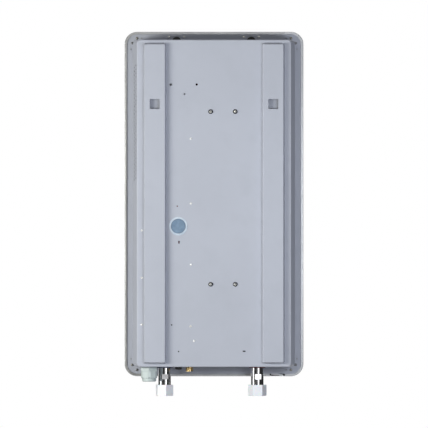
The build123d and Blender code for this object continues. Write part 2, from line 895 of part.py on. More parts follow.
def make_relief_outlet():
    """A brass tube from the relief valve, with a wider hose end seated under the casing."""
    low = casing_bottom - relief_outlet_reach
    tube = upright(relief_outlet_radius, relief_x, hydraulic_y, low, casing_bottom)
    tube += upright(relief_shank_radius, relief_x, hydraulic_y, casing_bottom, relief_body_bottom)
    return tube - upright(relief_outlet_bore_radius, relief_x, hydraulic_y, low, relief_body_bottom)


def make_relief_valve():
    """A brass body saddled on the pump's discharge pipe, with its bonnet facing the room."""
    body = upright(relief_body_radius, relief_x, hydraulic_y, relief_body_bottom, discharge_z)
    bonnet_front = hydraulic_y - relief_bonnet_length
    body += outward(relief_bonnet_radius, relief_x, relief_bonnet_z, hydraulic_y, bonnet_front)
    reach = 2 * relief_body_radius
    pipe = rod(
        pipe_radius + press_gap, (relief_x - reach, hydraulic_y, discharge_z), (1, 0, 0), 2 * reach
    )
    channel = upright(
        relief_outlet_bore_radius, relief_x, hydraulic_y, relief_body_bottom, relief_bonnet_z
    )
    stem_end = bonnet_front - running_gap - relief_stem_length
    stem = outward(relief_stem_radius, relief_x, relief_bonnet_z, bonnet_front, stem_end)
    return body - pipe - channel + stem


def make_relief_knob():
    """A ribbed knob on the bonnet's stem, turned to open the valve."""
    rear = hydraulic_y - relief_bonnet_length - running_gap
    front = rear - relief_knob_length
    knob = outward(relief_knob_radius, relief_x, relief_bonnet_z, rear, front)
    knob = fillet(knob.faces().sort_by(Axis.Y)[0].edges(), relief_knob_rounding)
    for rib in range(relief_knob_ribs):
        angle = 2 * pi * rib / relief_knob_ribs
        x = relief_x + relief_knob_radius * cos(angle)
        z = relief_bonnet_z + relief_knob_radius * sin(angle)
        knob -= outward(relief_knob_rib_radius, x, z, rear, front)
    bore_end = rear - relief_stem_length - running_gap
    return knob - outward(relief_stem_radius + spindle_gap, relief_x, relief_bonnet_z, rear, bore_end)


def make_lead_bush():
    """A black rubber bush in the casing's bottom."""
    low = casing_bottom - bush_reach
    high = floor_z + sheet
    bush = upright(bush_radius, bush_x, hydraulic_y, low, casing_bottom)
    bush = chamfer(bush.faces().sort_by(Axis.Z)[0].edges(), bush_chamfer)
    bush += upright(bush_neck_radius, bush_x, hydraulic_y, casing_bottom, high)
    return bush - upright(bush_bore_radius, bush_x, hydraulic_y, low, high)


def make_switch_housing():
    """A black tray in the lower edge of the cover, open downwards and to the rear."""
    top = cover_bottom + switch_height
    half = switch_length / 2
    rear = flange_front
    front = flange_front - switch_depth
    block = box_between(
        (switch_x - half, front, cover_bottom + switch_wall), (switch_x + half, rear, top)
    )
    hollow = box_between(
        (switch_x - half + switch_wall, front + switch_wall, cover_bottom),
        (switch_x + half - switch_wall, rear + cut_reach, top - switch_wall),
    )
    pin_hole = outward(rocker_pin_radius + spindle_gap, switch_x, rocker_pivot(), rear, front)
    return block - hollow - pin_hole


def rocker_pivot():
    """The height of the rocker's pivot."""
    return cover_bottom + rocker_rise


def make_power_rocker():
    """A white rocker with two shallow faces and a pivot pin, shown tilted to its off position."""
    half = switch_length / 2 - switch_wall - switch_gap - rocker_end_gap
    points = [
        (-half, -rocker_crown), (0, -rocker_crown / 2), (half, -rocker_crown),
        (half, rocker_lip / 2), (0, rocker_lip), (-half, rocker_lip / 2),
    ]
    outline = make_face(Polyline(*points, close=True))
    width = switch_depth - 2 * switch_wall - switch_gap
    rear = flange_front - switch_wall / 2
    body = extrude(facing(rear) * Rot(0, 0, rocker_tilt) * outline, amount=width)
    pin = outward(rocker_pin_radius, 0, 0, rear - width, flange_front - switch_depth)
    return Pos(switch_x, 0, rocker_pivot()) * (body + pin)


def make_heating_tank():
    """A welded steel cylinder with a dished bottom, a flanged mouth and two pipe stubs."""
    outer = tank_radius
    inner = tank_radius - tank_wall
    shoulder = tank_bottom + tank_dish
    lid = tank_top - 3 * tank_wall
    outer_middle = (outer * dish_arc_reach, tank_bottom + tank_dish * dish_outer_sag)
    inner_middle = (inner * dish_arc_reach, tank_bottom + tank_wall + tank_dish * dish_inner_sag)
    section = [
        Line((0, tank_bottom + tank_wall), (0, tank_bottom)),
        ThreePointArc((0, tank_bottom), outer_middle, (outer, shoulder)),
        Polyline((outer, shoulder), (outer, tank_top), (tank_mouth_radius, tank_top)),
        Polyline((tank_mouth_radius, tank_top), (tank_mouth_radius, lid), (inner, lid), (inner, shoulder)),
        ThreePointArc((inner, shoulder), inner_middle, (0, tank_bottom + tank_wall)),
    ]
    shell = revolve(Plane.XZ * make_face(section), axis=Axis.Z)
    shell = Pos(tank_x, hydraulic_y, 0) * shell
    low = tank_bottom - stub_length
    shell += upright(pipe_radius, tank_x, hydraulic_y, low, tank_bottom + tank_wall)
    shell -= upright(pipe_radius - pipe_wall, tank_x, hydraulic_y, low, tank_bottom + 3 * tank_wall)
    side_start = (tank_x - inner, hydraulic_y, tank_outlet_z())
    side_stub = rod(pipe_radius, side_start, (-1, 0, 0), stub_length + tank_wall)
    bore_start = (tank_x - inner + tank_wall, hydraulic_y, tank_outlet_z())
    side_bore = rod(pipe_radius - pipe_wall, bore_start, (-1, 0, 0), stub_length + 2 * tank_wall)
    return shell + side_stub - side_bore


def tank_outlet_z():
    """The level of the tank's side outlet, clear of the upper band."""
    return upper_saddle_z - saddle_length / 2 - pipe_radius - outlet_band_gap


def make_tank_saddles():
    """Blocks on the back panel with a round seat for the tank."""
    saddles = []
    for z in (upper_saddle_z, lower_saddle_z):
        depth = panel_front - hydraulic_y - tank_radius + saddle_horn
        low = (tank_x - tank_radius, panel_front - depth, z - saddle_length / 2)
        high = (tank_x + tank_radius, panel_front, z + saddle_length / 2)
        block = box_between(low, high)
        block -= upright(tank_radius + press_gap, tank_x, hydraulic_y, low[2], high[2])
        saddles.append(block)
    pieces = group(saddles)
    for x, z in tank_bolt_places():
        hole_front = panel_front - tank_bolt_length
        hole = outward(tank_bolt_radius + bolt_clearance, x, z, panel_front, hole_front)
        pieces = group([solid - hole for solid in pieces.solids()])
    return pieces


def make_tank_bands():
    """Sheet bands round the front of the tank, ending on the saddles' sides."""
    inner = tank_radius + press_gap
    outer = inner + band_thickness
    leg_end = hydraulic_y + tank_radius - saddle_horn + band_overlap
    outline = Circle(outer) - Circle(inner)
    front_half = Pos(0, -outer) * Rectangle(4 * outer, 2 * outer)
    arc = outline & front_half
    bands = []
    for z in (upper_saddle_z, lower_saddle_z):
        bottom = z - band_width / 2
        band = Pos(tank_x, hydraulic_y, bottom) * extrude(arc, amount=band_width)
        for side in (-1, 1):
            near = tank_x + side * inner
            far = tank_x + side * outer
            low = (min(near, far), hydraulic_y, bottom)
            high = (max(near, far), leg_end, bottom + band_width)
            band += box_between(low, high)
        bands.append(band)
    return group(bands)


def cover_bolt_places():
    """The bolts of the tank's flanged cover."""
    angles = [2 * pi / tank_cover_bolt_count * i for i in range(tank_cover_bolt_count)]
    radius = tank_cover_bolt_circle_radius
    return [(tank_x + radius * cos(angle), hydraulic_y + radius * sin(angle)) for angle in angles]


def make_tank_gasket():
    """A flat ring between the tank and its cover."""
    ring = upright(tank_cover_radius, tank_x, hydraulic_y, tank_top, tank_cover_bottom)
    ring -= upright(tank_mouth_radius, tank_x, hydraulic_y, tank_top, tank_cover_bottom)
    for x, y in cover_bolt_places():
        ring -= upright(tank_cover_bolt_radius + bolt_clearance, x, y, tank_top, tank_cover_bottom)
    return ring


def make_tank_cover():
    """The flanged cover that carries the heating elements."""
    disc = upright(tank_cover_radius, tank_x, hydraulic_y, tank_cover_bottom, tank_cover_top)
    disc = chamfer(disc.faces().sort_by(Axis.Z)[-1].edges(), tank_cover_chamfer)
    for x, y in cover_bolt_places():
        disc -= upright(
            tank_cover_bolt_radius + bolt_clearance, x, y, tank_cover_bottom, tank_cover_top
        )
    for x, y in element_leg_places():
        disc -= upright(element_radius + press_gap, x, y, tank_cover_bottom, tank_cover_top)
    return disc


def make_tank_cover_bolts():
    """Hexagon bolts through the cover and the gasket, ending on the tank's rim."""
    bolts = []
    for x, y in cover_bolt_places():
        head_top = tank_cover_top + tank_cover_bolt_head_height
        head = hex_bar(2 * tank_cover_bolt_head_radius, x, y, tank_cover_top, head_top)
        bolts.append(head + upright(tank_cover_bolt_radius, x, y, tank_top, tank_cover_top))
    return group(bolts)


def element_leg_places():
    """Both legs of each hairpin element."""
    first = -(element_count - 1) / 2
    return [
        (tank_x + (first + row) * element_row_step, hydraulic_y + side * element_leg_spacing / 2)
        for row in range(element_count)
        for side in (-1, 1)
    ]


def make_heating_elements():
    """Hairpin elements that hang from the cover, with a terminal stud on each leg."""
    legs = element_leg_places()
    elements = []
    for row in range(element_count):
        x, rear_y = legs[2 * row]
        front_y = legs[2 * row + 1][1]
        bottom = tank_bottom + element_foot_gap
        top = tank_cover_top + terminal_shoulder
        path = [(x, rear_y, top), (x, rear_y, bottom), (x, front_y, bottom), (x, front_y, top)]
        hairpin = bent_bar(path, element_radius, element_leg_spacing / 2 - element_bend_slack)
        for y in (rear_y, front_y):
            hairpin += upright(terminal_radius, x, y, top, top + terminal_height)
        elements.append(hairpin)
    return group(elements)


def make_limit_thermostat():
    """A round bimetal thermostat seated on the front of the tank."""
    front = hydraulic_y - tank_radius - thermostat_height
    level = (tank_top + tank_bottom) / 2
    puck = outward(thermostat_radius, tank_x, level, front + 2 * thermostat_height, front)
    reach = 2 * thermostat_radius
    puck -= upright(tank_radius + press_gap, tank_x, hydraulic_y, level - reach, level + reach)
    for side in (-1, 1):
        x = tank_x + side * thermostat_prong_spacing / 2
        puck += outward(thermostat_prong_radius, x, level, front, front - thermostat_prong_length)
    return puck


def make_air_vent():
    """An automatic air vent on the tank's cover."""
    y = hydraulic_y + element_leg_spacing / 2 + element_radius + air_vent_radius + air_vent_gap
    top = tank_cover_top + air_vent_height
    vent = upright(air_vent_radius, tank_x, y, tank_cover_top, top)
    vent = chamfer(vent.faces().sort_by(Axis.Z)[-1].edges(), air_vent_chamfer)
    return vent + upright(air_vent_radius / 3, tank_x, y, top, top + air_vent_nozzle_height)


def make_riser_pipes():
    """The two short pipes above the nipples: up to the pump and up to the flow sensor."""
    return group([
        straight_pipe(return_x, nipple_top, pump_z - volute_radius - stub_length),
        straight_pipe(flow_x, nipple_top, sensor_bottom),
    ])


def make_discharge_pipe():
    """The pipe from the pump to the bottom of the tank."""
    start = (return_x - volute_radius - stub_length / 2, hydraulic_y, discharge_z)
    corner = (tank_x, hydraulic_y, discharge_z)
    end = (tank_x, hydraulic_y, tank_bottom - stub_length)
    pipe = bent_pipe([start, corner, end], pipe_radius, pipe_wall, pipe_bend_radius)
    hole_bottom = discharge_z - 2 * pipe_radius
    return pipe - upright(relief_outlet_bore_radius, relief_x, hydraulic_y, hole_bottom, discharge_z)


def make_flow_pipe():
    """The pipe from the tank's side outlet down to the flow sensor."""
    start = (tank_x - tank_radius - stub_length, hydraulic_y, tank_outlet_z())
    corner = (flow_x, hydraulic_y, tank_outlet_z())
    end = (flow_x, hydraulic_y, sensor_bottom + sensor_length)
    return bent_pipe([start, corner, end], pipe_radius, pipe_wall, pipe_bend_radius)


def make_flow_sensor():
    """A moulded body with a spider and spindle for the turbine."""
    top = sensor_bottom + sensor_length
    body = upright(sensor_radius, flow_x, hydraulic_y, sensor_bottom, top)
    body = chamfer(body.faces().sort_by(Axis.Z)[-1].edges(), sensor_chamfer)
    bore = turbine_radius + sensor_bore_gap
    body -= upright(bore, flow_x, hydraulic_y, sensor_bottom, top)
    middle = sensor_bottom + sensor_length / 2
    spider_top = middle - turbine_length / 2 - running_gap
    for turn in (0, 90):
        bar = Box(bore + sensor_radius, spider_width, spider_width)
        body += Pos(flow_x, hydraulic_y, spider_top - spider_width / 2) * Rot(0, 0, turn) * bar
    body += upright(spindle_radius, flow_x, hydraulic_y, spider_top, middle + turbine_length / 2)
    plug = Rectangle(sensor_plug_width, sensor_plug_height)
    plug_rear = hydraulic_y - (bore + sensor_radius) / 2
    plug_thickness = plug_rear - hydraulic_y + sensor_radius + sensor_plug_depth
    return body + slab(plug, flow_x, middle, plug_rear, plug_thickness)


def make_flow_turbine():
    """A hub with twisted vanes, spinning on the sensor's spindle."""
    middle = sensor_bottom + sensor_length / 2
    low = middle - turbine_length / 2
    high = middle + turbine_length / 2
    turbine = upright(turbine_hub_radius, flow_x, hydraulic_y, low, high)
    for vane in range(turbine_vanes):
        blade = Box(turbine_radius, turbine_vane_thickness, turbine_length - 2 * turbine_end_gap)
        blade = Pos(turbine_radius / 2, 0, 0) * Rot(turbine_vane_twist, 0, 0) * blade
        blade = Rot(0, 0, 360 / turbine_vanes * vane) * blade
        turbine += Pos(flow_x, hydraulic_y, middle) * blade
    turbine &= upright(turbine_radius, flow_x, hydraulic_y, low, high)
    return turbine - upright(spindle_radius + spindle_gap, flow_x, hydraulic_y, low, high)


def make_pump_housing():
    """A cast volute with a suction stub below and a discharge stub at the side."""
    volute = outward(volute_radius, return_x, pump_z, volute_back, volute_front)
    volute = fillet(volute.faces().sort_by(Axis.Y)[-1].edges(), pump_rounding)
    suction_end = pump_z - volute_radius - stub_length
    volute += upright(pipe_radius, return_x, hydraulic_y, suction_end, pump_z - volute_radius / 2)
    side_end = return_x - volute_radius - stub_length / 2
    volute += rod(pipe_radius, (side_end, hydraulic_y, discharge_z), (1, 0, 0), return_x - side_end)
    chamber_front = volute_front + volute_wall
    chamber_back = volute_back - volute_wall
    chamber = volute_radius - volute_wall
    volute -= outward(chamber, return_x, pump_z, chamber_back, chamber_front)
    volute -= outward(motor_bore_radius, return_x, pump_z, chamber_front, volute_front)
    bore = pipe_radius - pipe_wall
    volute -= upright(bore, return_x, hydraulic_y, suction_end, pump_z - chamber + suction_overlap)
    return volute - rod(bore, (side_end, hydraulic_y, discharge_z), (1, 0, 0), volute_radius / 2)


def make_pump_motor():
    """The motor can with cooling ribs and a bore for the rotor."""
    can = outward(motor_radius, return_x, pump_z, volute_front, motor_front)
    can = fillet(can.faces().sort_by(Axis.Y)[0].edges(), pump_rounding)
    bore_end = motor_front + motor_end_wall
    can -= outward(motor_bore_radius, return_x, pump_z, volute_front, bore_end)
    shaft_end = motor_front + shaft_end_gap - running_gap
    return can - outward(shaft_radius + press_gap, return_x, pump_z, bore_end, shaft_end)


def make_pump_rotor():
    """The wet rotor: impeller, shaft and magnet core in one."""
    impeller_back = volute_back - volute_wall - impeller_gap
    impeller_front = impeller_back - impeller_thickness
    vane_rear = impeller_back - impeller_disc_thickness
    rotor = outward(impeller_radius, return_x, pump_z, impeller_back, vane_rear)
    rotor += outward(impeller_radius / 3, return_x, pump_z, impeller_back, impeller_front)
    for vane in range(impeller_vanes):
        reach = impeller_radius * 0.64
        blade = Rot(0, 0, impeller_vane_sweep) * Rectangle(reach, impeller_vane_thickness)
        blade = Pos(impeller_radius * 0.62, 0) * blade
        outline = Rot(0, 0, 360 / impeller_vanes * vane) * blade
        rotor += slab(outline, return_x, pump_z, vane_rear, impeller_thickness - impeller_disc_thickness)
    rotor &= outward(impeller_radius, return_x, pump_z, impeller_back, impeller_front)
    core_rear = volute_front
    core_front = motor_front + motor_end_wall + running_gap
    rotor += outward(shaft_radius, return_x, pump_z, impeller_front, motor_front + shaft_end_gap)
    return rotor + outward(rotor_core_radius, return_x, pump_z, core_rear, core_front)


def make_pump_mounts():
    """Rubber mounts between the back panel and the pump."""
    reach = pump_mount_spacing / 2
    levels = (pump_z - reach, pump_z + reach)
    return group([outward(pump_mount_radius, return_x, z, panel_front, volute_back) for z in levels])


def vessel_middle():
    """The middle of the expansion vessel, in x, y and z."""
    y = panel_front - vessel_back_gap - vessel_depth / 2
    return vessel_left + vessel_width / 2, y, (vessel_top + vessel_bottom) / 2


def make_expansion_vessel():
    """Two pressed half shells with a rolled seam and a charging valve at the back."""
    x, y, z = vessel_middle()
    outline = RectangleRounded(
        vessel_width - 2 * vessel_seam, vessel_height - 2 * vessel_seam, vessel_corner_radius
    )
    rear_plane = Plane(origin=(x, y, z), x_dir=(1, 0, 0), z_dir=(0, 1, 0))
    front_plane = Plane(origin=(x, y, z), x_dir=(1, 0, 0), z_dir=(0, -1, 0))
    vessel = extrude(rear_plane * outline, amount=vessel_depth / 2, taper=vessel_taper)
    vessel += extrude(front_plane * outline, amount=vessel_depth / 2, taper=vessel_taper)
    seam = RectangleRounded(vessel_width, vessel_height, vessel_corner_radius + vessel_seam)
    vessel += slab(seam, x, z, y + vessel_seam / 2, vessel_seam)
    return vessel + outward(valve_radius, valve_x, valve_z, panel_front - sheet, y)


def make_vessel_straps():
    """Three sheet straps over the vessel, riveted to the back panel."""
    x, y, z = vessel_middle()
    thickness = sheet
    front = panel_front - vessel_back_gap - vessel_depth - thickness / 2
    foot_y = panel_front - thickness / 2
    side = vessel_width / 2 + thickness / 2 + press_gap
    path = FilletPolyline(
        (x - side - strap_foot, foot_y), (x - side, foot_y), (x - side, front),
        (x + side, front), (x + side, foot_y), (x + side + strap_foot, foot_y),
        radius=thickness * 1.5,
    )
    outline = trace(path, line_width=thickness)
    straps = []
    for height in strap_heights:
        strap = Pos(0, 0, height - strap_width / 2) * extrude(outline, amount=strap_width)
        strap -= outward(
            rivet_shank_radius + press_gap, rivet_column_x, height, panel_front, foot_y - thickness
        )
        straps.append(strap)
    return group(straps)


def make_vessel_pipe():
    """A thin pipe from the vessel's bottom to the return pipe."""
    x, y, z = vessel_middle()
    bend_z = vessel_bottom - vessel_pipe_drop
    level = nipple_top + vessel_pipe_rise
    reach = hydraulic_y + pipe_radius
    clear_x = x + vessel_width / 2 - vessel_pipe_inset
    back_y = panel_front - 3 * vessel_pipe_radius
    path = [
        (clear_x, y, vessel_bottom), (clear_x, y, bend_z),
        (clear_x, back_y, bend_z - vessel_pipe_slope_height),
        (clear_x, back_y, level), (return_x, back_y, level), (return_x, reach, level),
    ]
    return bent_pipe(path, vessel_pipe_radius, pipe_wall, vessel_pipe_bend_radius)


def make_board_bracket():
    """A folded hat bracket with standoffs for the control board."""
    foot_y = panel_front - sheet / 2
    plate_y = panel_front - bracket_front
    path = FilletPolyline(
        (foot_y, bracket_top + bracket_foot), (foot_y, bracket_top), (plate_y, bracket_top),
        (plate_y, bracket_bottom), (foot_y, bracket_bottom), (foot_y, bracket_bottom - bracket_foot),
        radius=bracket_bend,
    )
    outline = trace(path, line_width=sheet)
    side_plane = Plane(origin=(bracket_left, 0, 0), x_dir=(0, 1, 0), z_dir=(1, 0, 0))
    bracket = extrude(side_plane * outline, amount=bracket_width)
    for x, z in standoff_places():
        bracket += outward(standoff_radius, x, z, plate_y, board_rear())
    return bracket


def board_rear():
    """The rear face of the control board."""
    return panel_front - bracket_front - sheet / 2 - standoff_height


def standoff_places():
    """The four standoffs near the corners of the board."""
    inset = board_margin + 2 * standoff_radius
    columns = (bracket_left + inset, bracket_left + bracket_width - inset)
    rows = (bracket_bottom + inset, bracket_top - inset)
    return [(x, z) for x in columns for z in rows]


def make_control_board():
    """The printed circuit board with its larger components."""
    width = bracket_width - 2 * board_margin
    height = bracket_top - bracket_bottom - 2 * board_margin
    x = bracket_left + bracket_width / 2
    z = (bracket_top + bracket_bottom) / 2
    front = board_rear() - board_thickness
    board = slab(Rectangle(width, height), x, z, board_rear(), board_thickness)
    for level in (-1, 1):
        height_above = level * height / 5
        board += outward(capacitor_radius, x + width / 4, z + height_above, front, front - capacitor_height)
    transformer = Rectangle(transformer_width, transformer_height)
    board += slab(transformer, x + width / 5, z, front, transformer_depth)
    connector = Rectangle(connector_width, connector_height)
    return board + slab(connector, x, z - height / 2 + connector_height, front, connector_depth)


def relay_places():
    """The centres of the power relays on the board."""
    x = bracket_left + board_margin + relay_margin + relay_width / 2
    top = bracket_top - board_margin - relay_head_room - relay_height / 2
    return [(x, top - i * (relay_height + relay_gap)) for i in range(relay_count)]


def make_power_relays():
    """The relays that switch the elements."""
    rear = board_rear() - board_thickness
    relays = []
    for x, z in relay_places():
        relay = slab(Rectangle(relay_width, relay_height), x, z, rear, relay_depth)
        relays.append(chamfer(relay.faces().sort_by(Axis.Y)[0].edges(), relay_chamfer))
    return group(relays)


def make_heat_sink():
    """A finned block on the rear of the bracket's plate."""
    x = bracket_left + bracket_width / 2
    z = (bracket_top + bracket_bottom) / 2
    base_front = panel_front - bracket_front + sheet / 2
    base_rear = base_front + sink_base
    sink = slab(Rectangle(sink_width, sink_height), x, z, base_rear, sink_base)
    step = (sink_width - sink_fin_thickness) / (sink_fin_count - 1)
    for fin in range(sink_fin_count):
        fin_x = x - sink_width / 2 + sink_fin_thickness / 2 + fin * step
        outline = Rectangle(sink_fin_thickness, sink_height)
        sink += slab(outline, fin_x, z, base_rear + sink_fin_height, sink_fin_height)
    return sink


def make_element_wires():
    """Wires from the relays, up beside the bracket and over to the front terminals."""
    legs = [place for place in element_leg_places() if place[1] < hydraulic_y]
    lane_y = board_rear() - board_thickness - relay_depth / 2
    end_z = tank_cover_top + terminal_shoulder + terminal_height
    wires = []
    for i, ((x, y), (relay_x, relay_z)) in enumerate(zip(legs, relay_places())):
        start_x = relay_x - relay_width / 2
        column_x = bracket_left - wire_step * (i + 1)
        level = bracket_top - wire_step * i
        path = [
            (start_x, lane_y, relay_z), (column_x, lane_y, relay_z), (column_x, lane_y, level),
            (x, lane_y, level), (x, y, level), (x, y, end_z),
        ]
        wires.append(bent_bar(path, wire_radius, wire_bend_radius))
    return group(wires)


def make_terminal_block():
    """The mains terminals, one pocket for each way."""
    block = box_between(
        (block_left, stand_y - sheet - block_depth, block_bottom),
        (block_left + block_width, stand_y - sheet, block_bottom + block_height),
    )
    step = block_width / block_ways
    for way in range(block_ways):
        x = block_left + (way + 0.5) * step
        middle_y = stand_y - sheet - block_depth / 2
        front_y = stand_y - sheet - block_depth
        screw_z = block_bottom + block_height - block_screw_drop
        block -= upright(block_wire_radius, x, middle_y, block_bottom, block_bottom + block_wire_depth)
        block -= outward(block_screw_radius, x, screw_z, front_y + block_screw_depth, front_y)
    return block


def make_terminal_stand():
    """A folded stand on the casing's bottom."""
    foot = box_between(
        (block_left, stand_y - sheet, floor_z),
        (block_left + block_width, stand_y + stand_foot, floor_z + sheet),
    )
    riser = box_between(
        (block_left, stand_y - sheet, floor_z),
        (block_left + block_width, stand_y, block_bottom + block_height),
    )
    return foot + riser


def make_display_module():
    """The display on the rear face of the glass."""
    outline = RectangleRounded(display_width, display_height, display_corner_radius)
    level = cover_top_height - display_drop
    rear = frame_front + display_thickness
    module = slab(outline, 0, level, rear, display_thickness)
    plug = Rectangle(display_width / 2, display_plug_height)
    return module + slab(plug, 0, level, rear + display_thickness, display_thickness)


parts = {
    "rear_casing": make_rear_casing(),
    "left_wall_rail": make_wall_rail(1),
    "right_wall_rail": make_wall_rail(-1),
    "front_frame": make_front_frame(),
    "front_glass": make_front_glass(),
    "frame_screws": make_small_screws(mirrored_corners(corner_screws)),
    "cover_hooks": make_cover_hooks(),
    "cover_hook_screws": make_small_screws(hook_screw_places()),
    "panel_rivets": make_panel_rivets(),
    "valve_plug": make_valve_plug(),
    "tank_bolts": make_tank_bolts(),
    "tank_washers": make_tank_washers(),
    "return_nipple": make_nipple(return_x, 0.0),
    "flow_nipple": make_nipple(flow_x, flow_flat_turn),
    "cold_marker_ring": make_marker_ring(return_x),
    "hot_marker_ring": make_marker_ring(flow_x),
    "return_cap": make_cap(return_x, return_cap_turn),
    "flow_cap": make_cap(flow_x, flow_cap_turn),
    "return_cap_washer": make_cap_washer(return_x),
    "flow_cap_washer": make_cap_washer(flow_x),
    "union_nuts": make_union_nuts(),
    "gland_body": make_gland_body(),
    "gland_locknut": make_gland_locknut(),
    "gland_seal": make_gland_seal(),
    "gland_nut": make_gland_nut(),
    "relief_outlet": make_relief_outlet(),
    "relief_valve": make_relief_valve(),
    "relief_knob": make_relief_knob(),
    "lead_bush": make_lead_bush(),
    "switch_housing": make_switch_housing(),
    "power_rocker": make_power_rocker(),
    "heating_tank": make_heating_tank(),
    "tank_saddles": make_tank_saddles(),
    "tank_bands": make_tank_bands(),
    "tank_gasket": make_tank_gasket(),
    "tank_cover": make_tank_cover(),
    "tank_cover_bolts": make_tank_cover_bolts(),
    "heating_elements": make_heating_elements(),
    "limit_thermostat": make_limit_thermostat(),
    "air_vent": make_air_vent(),
    "riser_pipes": make_riser_pipes(),
    "discharge_pipe": make_discharge_pipe(),
    "flow_pipe": make_flow_pipe(),
    "flow_sensor": make_flow_sensor(),
    "flow_turbine": make_flow_turbine(),
    "pump_housing": make_pump_housing(),
    "pump_motor": make_pump_motor(),
    "pump_rotor": make_pump_rotor(),
    "pump_mounts": make_pump_mounts(),
    "expansion_vessel": make_expansion_vessel(),
    "vessel_straps": make_vessel_straps(),
    "vessel_pipe": make_vessel_pipe(),
    "board_bracket": make_board_bracket(),
    "control_board": make_control_board(),
    "power_relays": make_power_relays(),
    "heat_sink": make_heat_sink(),
    "element_wires": make_element_wires(),
    "terminal_block": make_terminal_block(),
    "terminal_stand": make_terminal_stand(),
    "display_module": make_display_module(),
}

os.makedirs("parts", exist_ok=True)
for name, part in parts.items():
    export_step(part, f"parts/{name}.step")
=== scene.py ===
from math import cos, hypot, pi, radians, sin

import bmesh
import bpy
from mathutils import Matrix, Vector


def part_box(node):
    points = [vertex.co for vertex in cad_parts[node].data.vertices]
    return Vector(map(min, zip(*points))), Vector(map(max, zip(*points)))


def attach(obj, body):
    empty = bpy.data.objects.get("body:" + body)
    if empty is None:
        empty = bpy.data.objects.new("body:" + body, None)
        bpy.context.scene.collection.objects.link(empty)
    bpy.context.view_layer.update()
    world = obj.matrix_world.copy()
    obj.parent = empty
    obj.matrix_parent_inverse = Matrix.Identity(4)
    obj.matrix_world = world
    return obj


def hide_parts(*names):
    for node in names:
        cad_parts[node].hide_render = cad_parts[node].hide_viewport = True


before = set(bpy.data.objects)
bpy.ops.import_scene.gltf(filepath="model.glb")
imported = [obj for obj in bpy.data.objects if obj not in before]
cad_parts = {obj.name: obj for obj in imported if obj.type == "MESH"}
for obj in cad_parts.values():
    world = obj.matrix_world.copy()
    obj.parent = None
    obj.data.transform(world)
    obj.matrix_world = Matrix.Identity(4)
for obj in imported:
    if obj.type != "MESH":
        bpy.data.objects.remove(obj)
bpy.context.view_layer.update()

# The look of a slim wall-hung electric boiler, seen from the back.
# Everything is in metres, in the frame of the CAD parts: wall plane y = 0, room towards -Y, +Z up.

# The photograph's view: straight at the back, from far away, with its width measured at the view's depth
VIEW_MIDDLE_Z = -0.219
VIEW_WIDTH = 0.856
VIEW_DISTANCE = 12.0
VIEW_DEPTH = -0.06
SENSOR_WIDTH = 36.0
VIEW_REACH = 100.0

# Strengths of the light from all round and of the background that the camera sees
AMBIENT = 0.14
BACKGROUND = 1.0

# How far the lamps stand from the middle of the object
LIGHT_DISTANCE = 1.8

# The round floor below the view
FLOOR_DROP = 0.9
FLOOR_RADIUS = 1.6
FLOOR_STEPS = 96
FLOOR_GREY = 0.16
FLOOR_CLOUD_GREY = 0.14
FLOOR_GLOW = 0.85

# The dark tent round the set, open at the front between two azimuths in degrees
TENT_RADIUS = 3.2
TENT_HEIGHT = 4.0
TENT_START = 22.0
TENT_END = 338.0
TENT_STEPS = 72

# The range that a cloudy noise mostly keeps to
NOISE_LOW = 0.3
NOISE_HIGH = 0.7

# Edges sharper than this angle are shaded as creases
SHARP_ANGLE = 35.0

# Pan-head screws with a cross recess
SCREW_HEAD_RADIUS = 0.0028
SCREW_HEAD_HEIGHT = 0.0016
SCREW_HEAD_RISE = SCREW_HEAD_HEIGHT * 0.75
SCREW_SHANK_RADIUS = 0.0016
SCREW_SHANK_LENGTH = 0.0064
SCREW_POINT_RADIUS = SCREW_SHANK_RADIUS * 0.6
SCREW_POINT_LENGTH = 0.001
CROSS_ARM_LENGTH = 0.0008
CROSS_ARM_WIDTH = 0.00024
CROSS_FLOOR = SCREW_HEAD_HEIGHT * 0.35
CROSS_FLARE = 2.0

# Domed bolts with a hexagon socket
BOLT_HEAD_RADIUS = 0.0030
BOLT_HEAD_HEIGHT = 0.0030
BOLT_HEAD_RISE = BOLT_HEAD_HEIGHT * 0.45
BOLT_SHANK_RADIUS = 0.0025
BOLT_SHANK_LENGTH = 0.016
BOLT_POINT_RADIUS = BOLT_SHANK_RADIUS * 0.8
BOLT_POINT_LENGTH = 0.0008
SOCKET_RADIUS = 0.0014
SOCKET_FLOOR = BOLT_HEAD_HEIGHT * 0.4

# How high the cutter of a recess reaches above the seat, as a share of the head's height
CUTTER_TOP = 1.2

# Blind rivets with the sunk end of their mandrel
RIVET_RADIUS = 0.0024
RIVET_SHANK_RADIUS = 0.0016
RIVET_SHANK_LENGTH = 0.0012
RIVET_HEIGHT = 0.0010
RIVET_DOME_RUN = 0.0009
RIVET_DOME_STEPS = 6
RIVET_STEPS = 28
RIVET_HOLE_RIM_RADIUS = 0.0009
RIVET_HOLE_RIM = RIVET_HEIGHT * 0.95
RIVET_HOLE_RADIUS = 0.0008
RIVET_HOLE_FLOOR = RIVET_HEIGHT * 0.35
MANDREL_RADIUS = 0.0006
MANDREL_SHOULDER_RADIUS = 0.0005
MANDREL_SHOULDER = RIVET_HEIGHT * 0.55
MANDREL_TOP = RIVET_HEIGHT * 0.6

# Each copy of a fastener is turned by some more degrees, so that their recesses don't line up
SPIN_START = 12.0
SPIN_STEP = 37.0

# Points within this reach of each other, seen from the back, belong to the same fastener
SOLID_REACH = 0.007

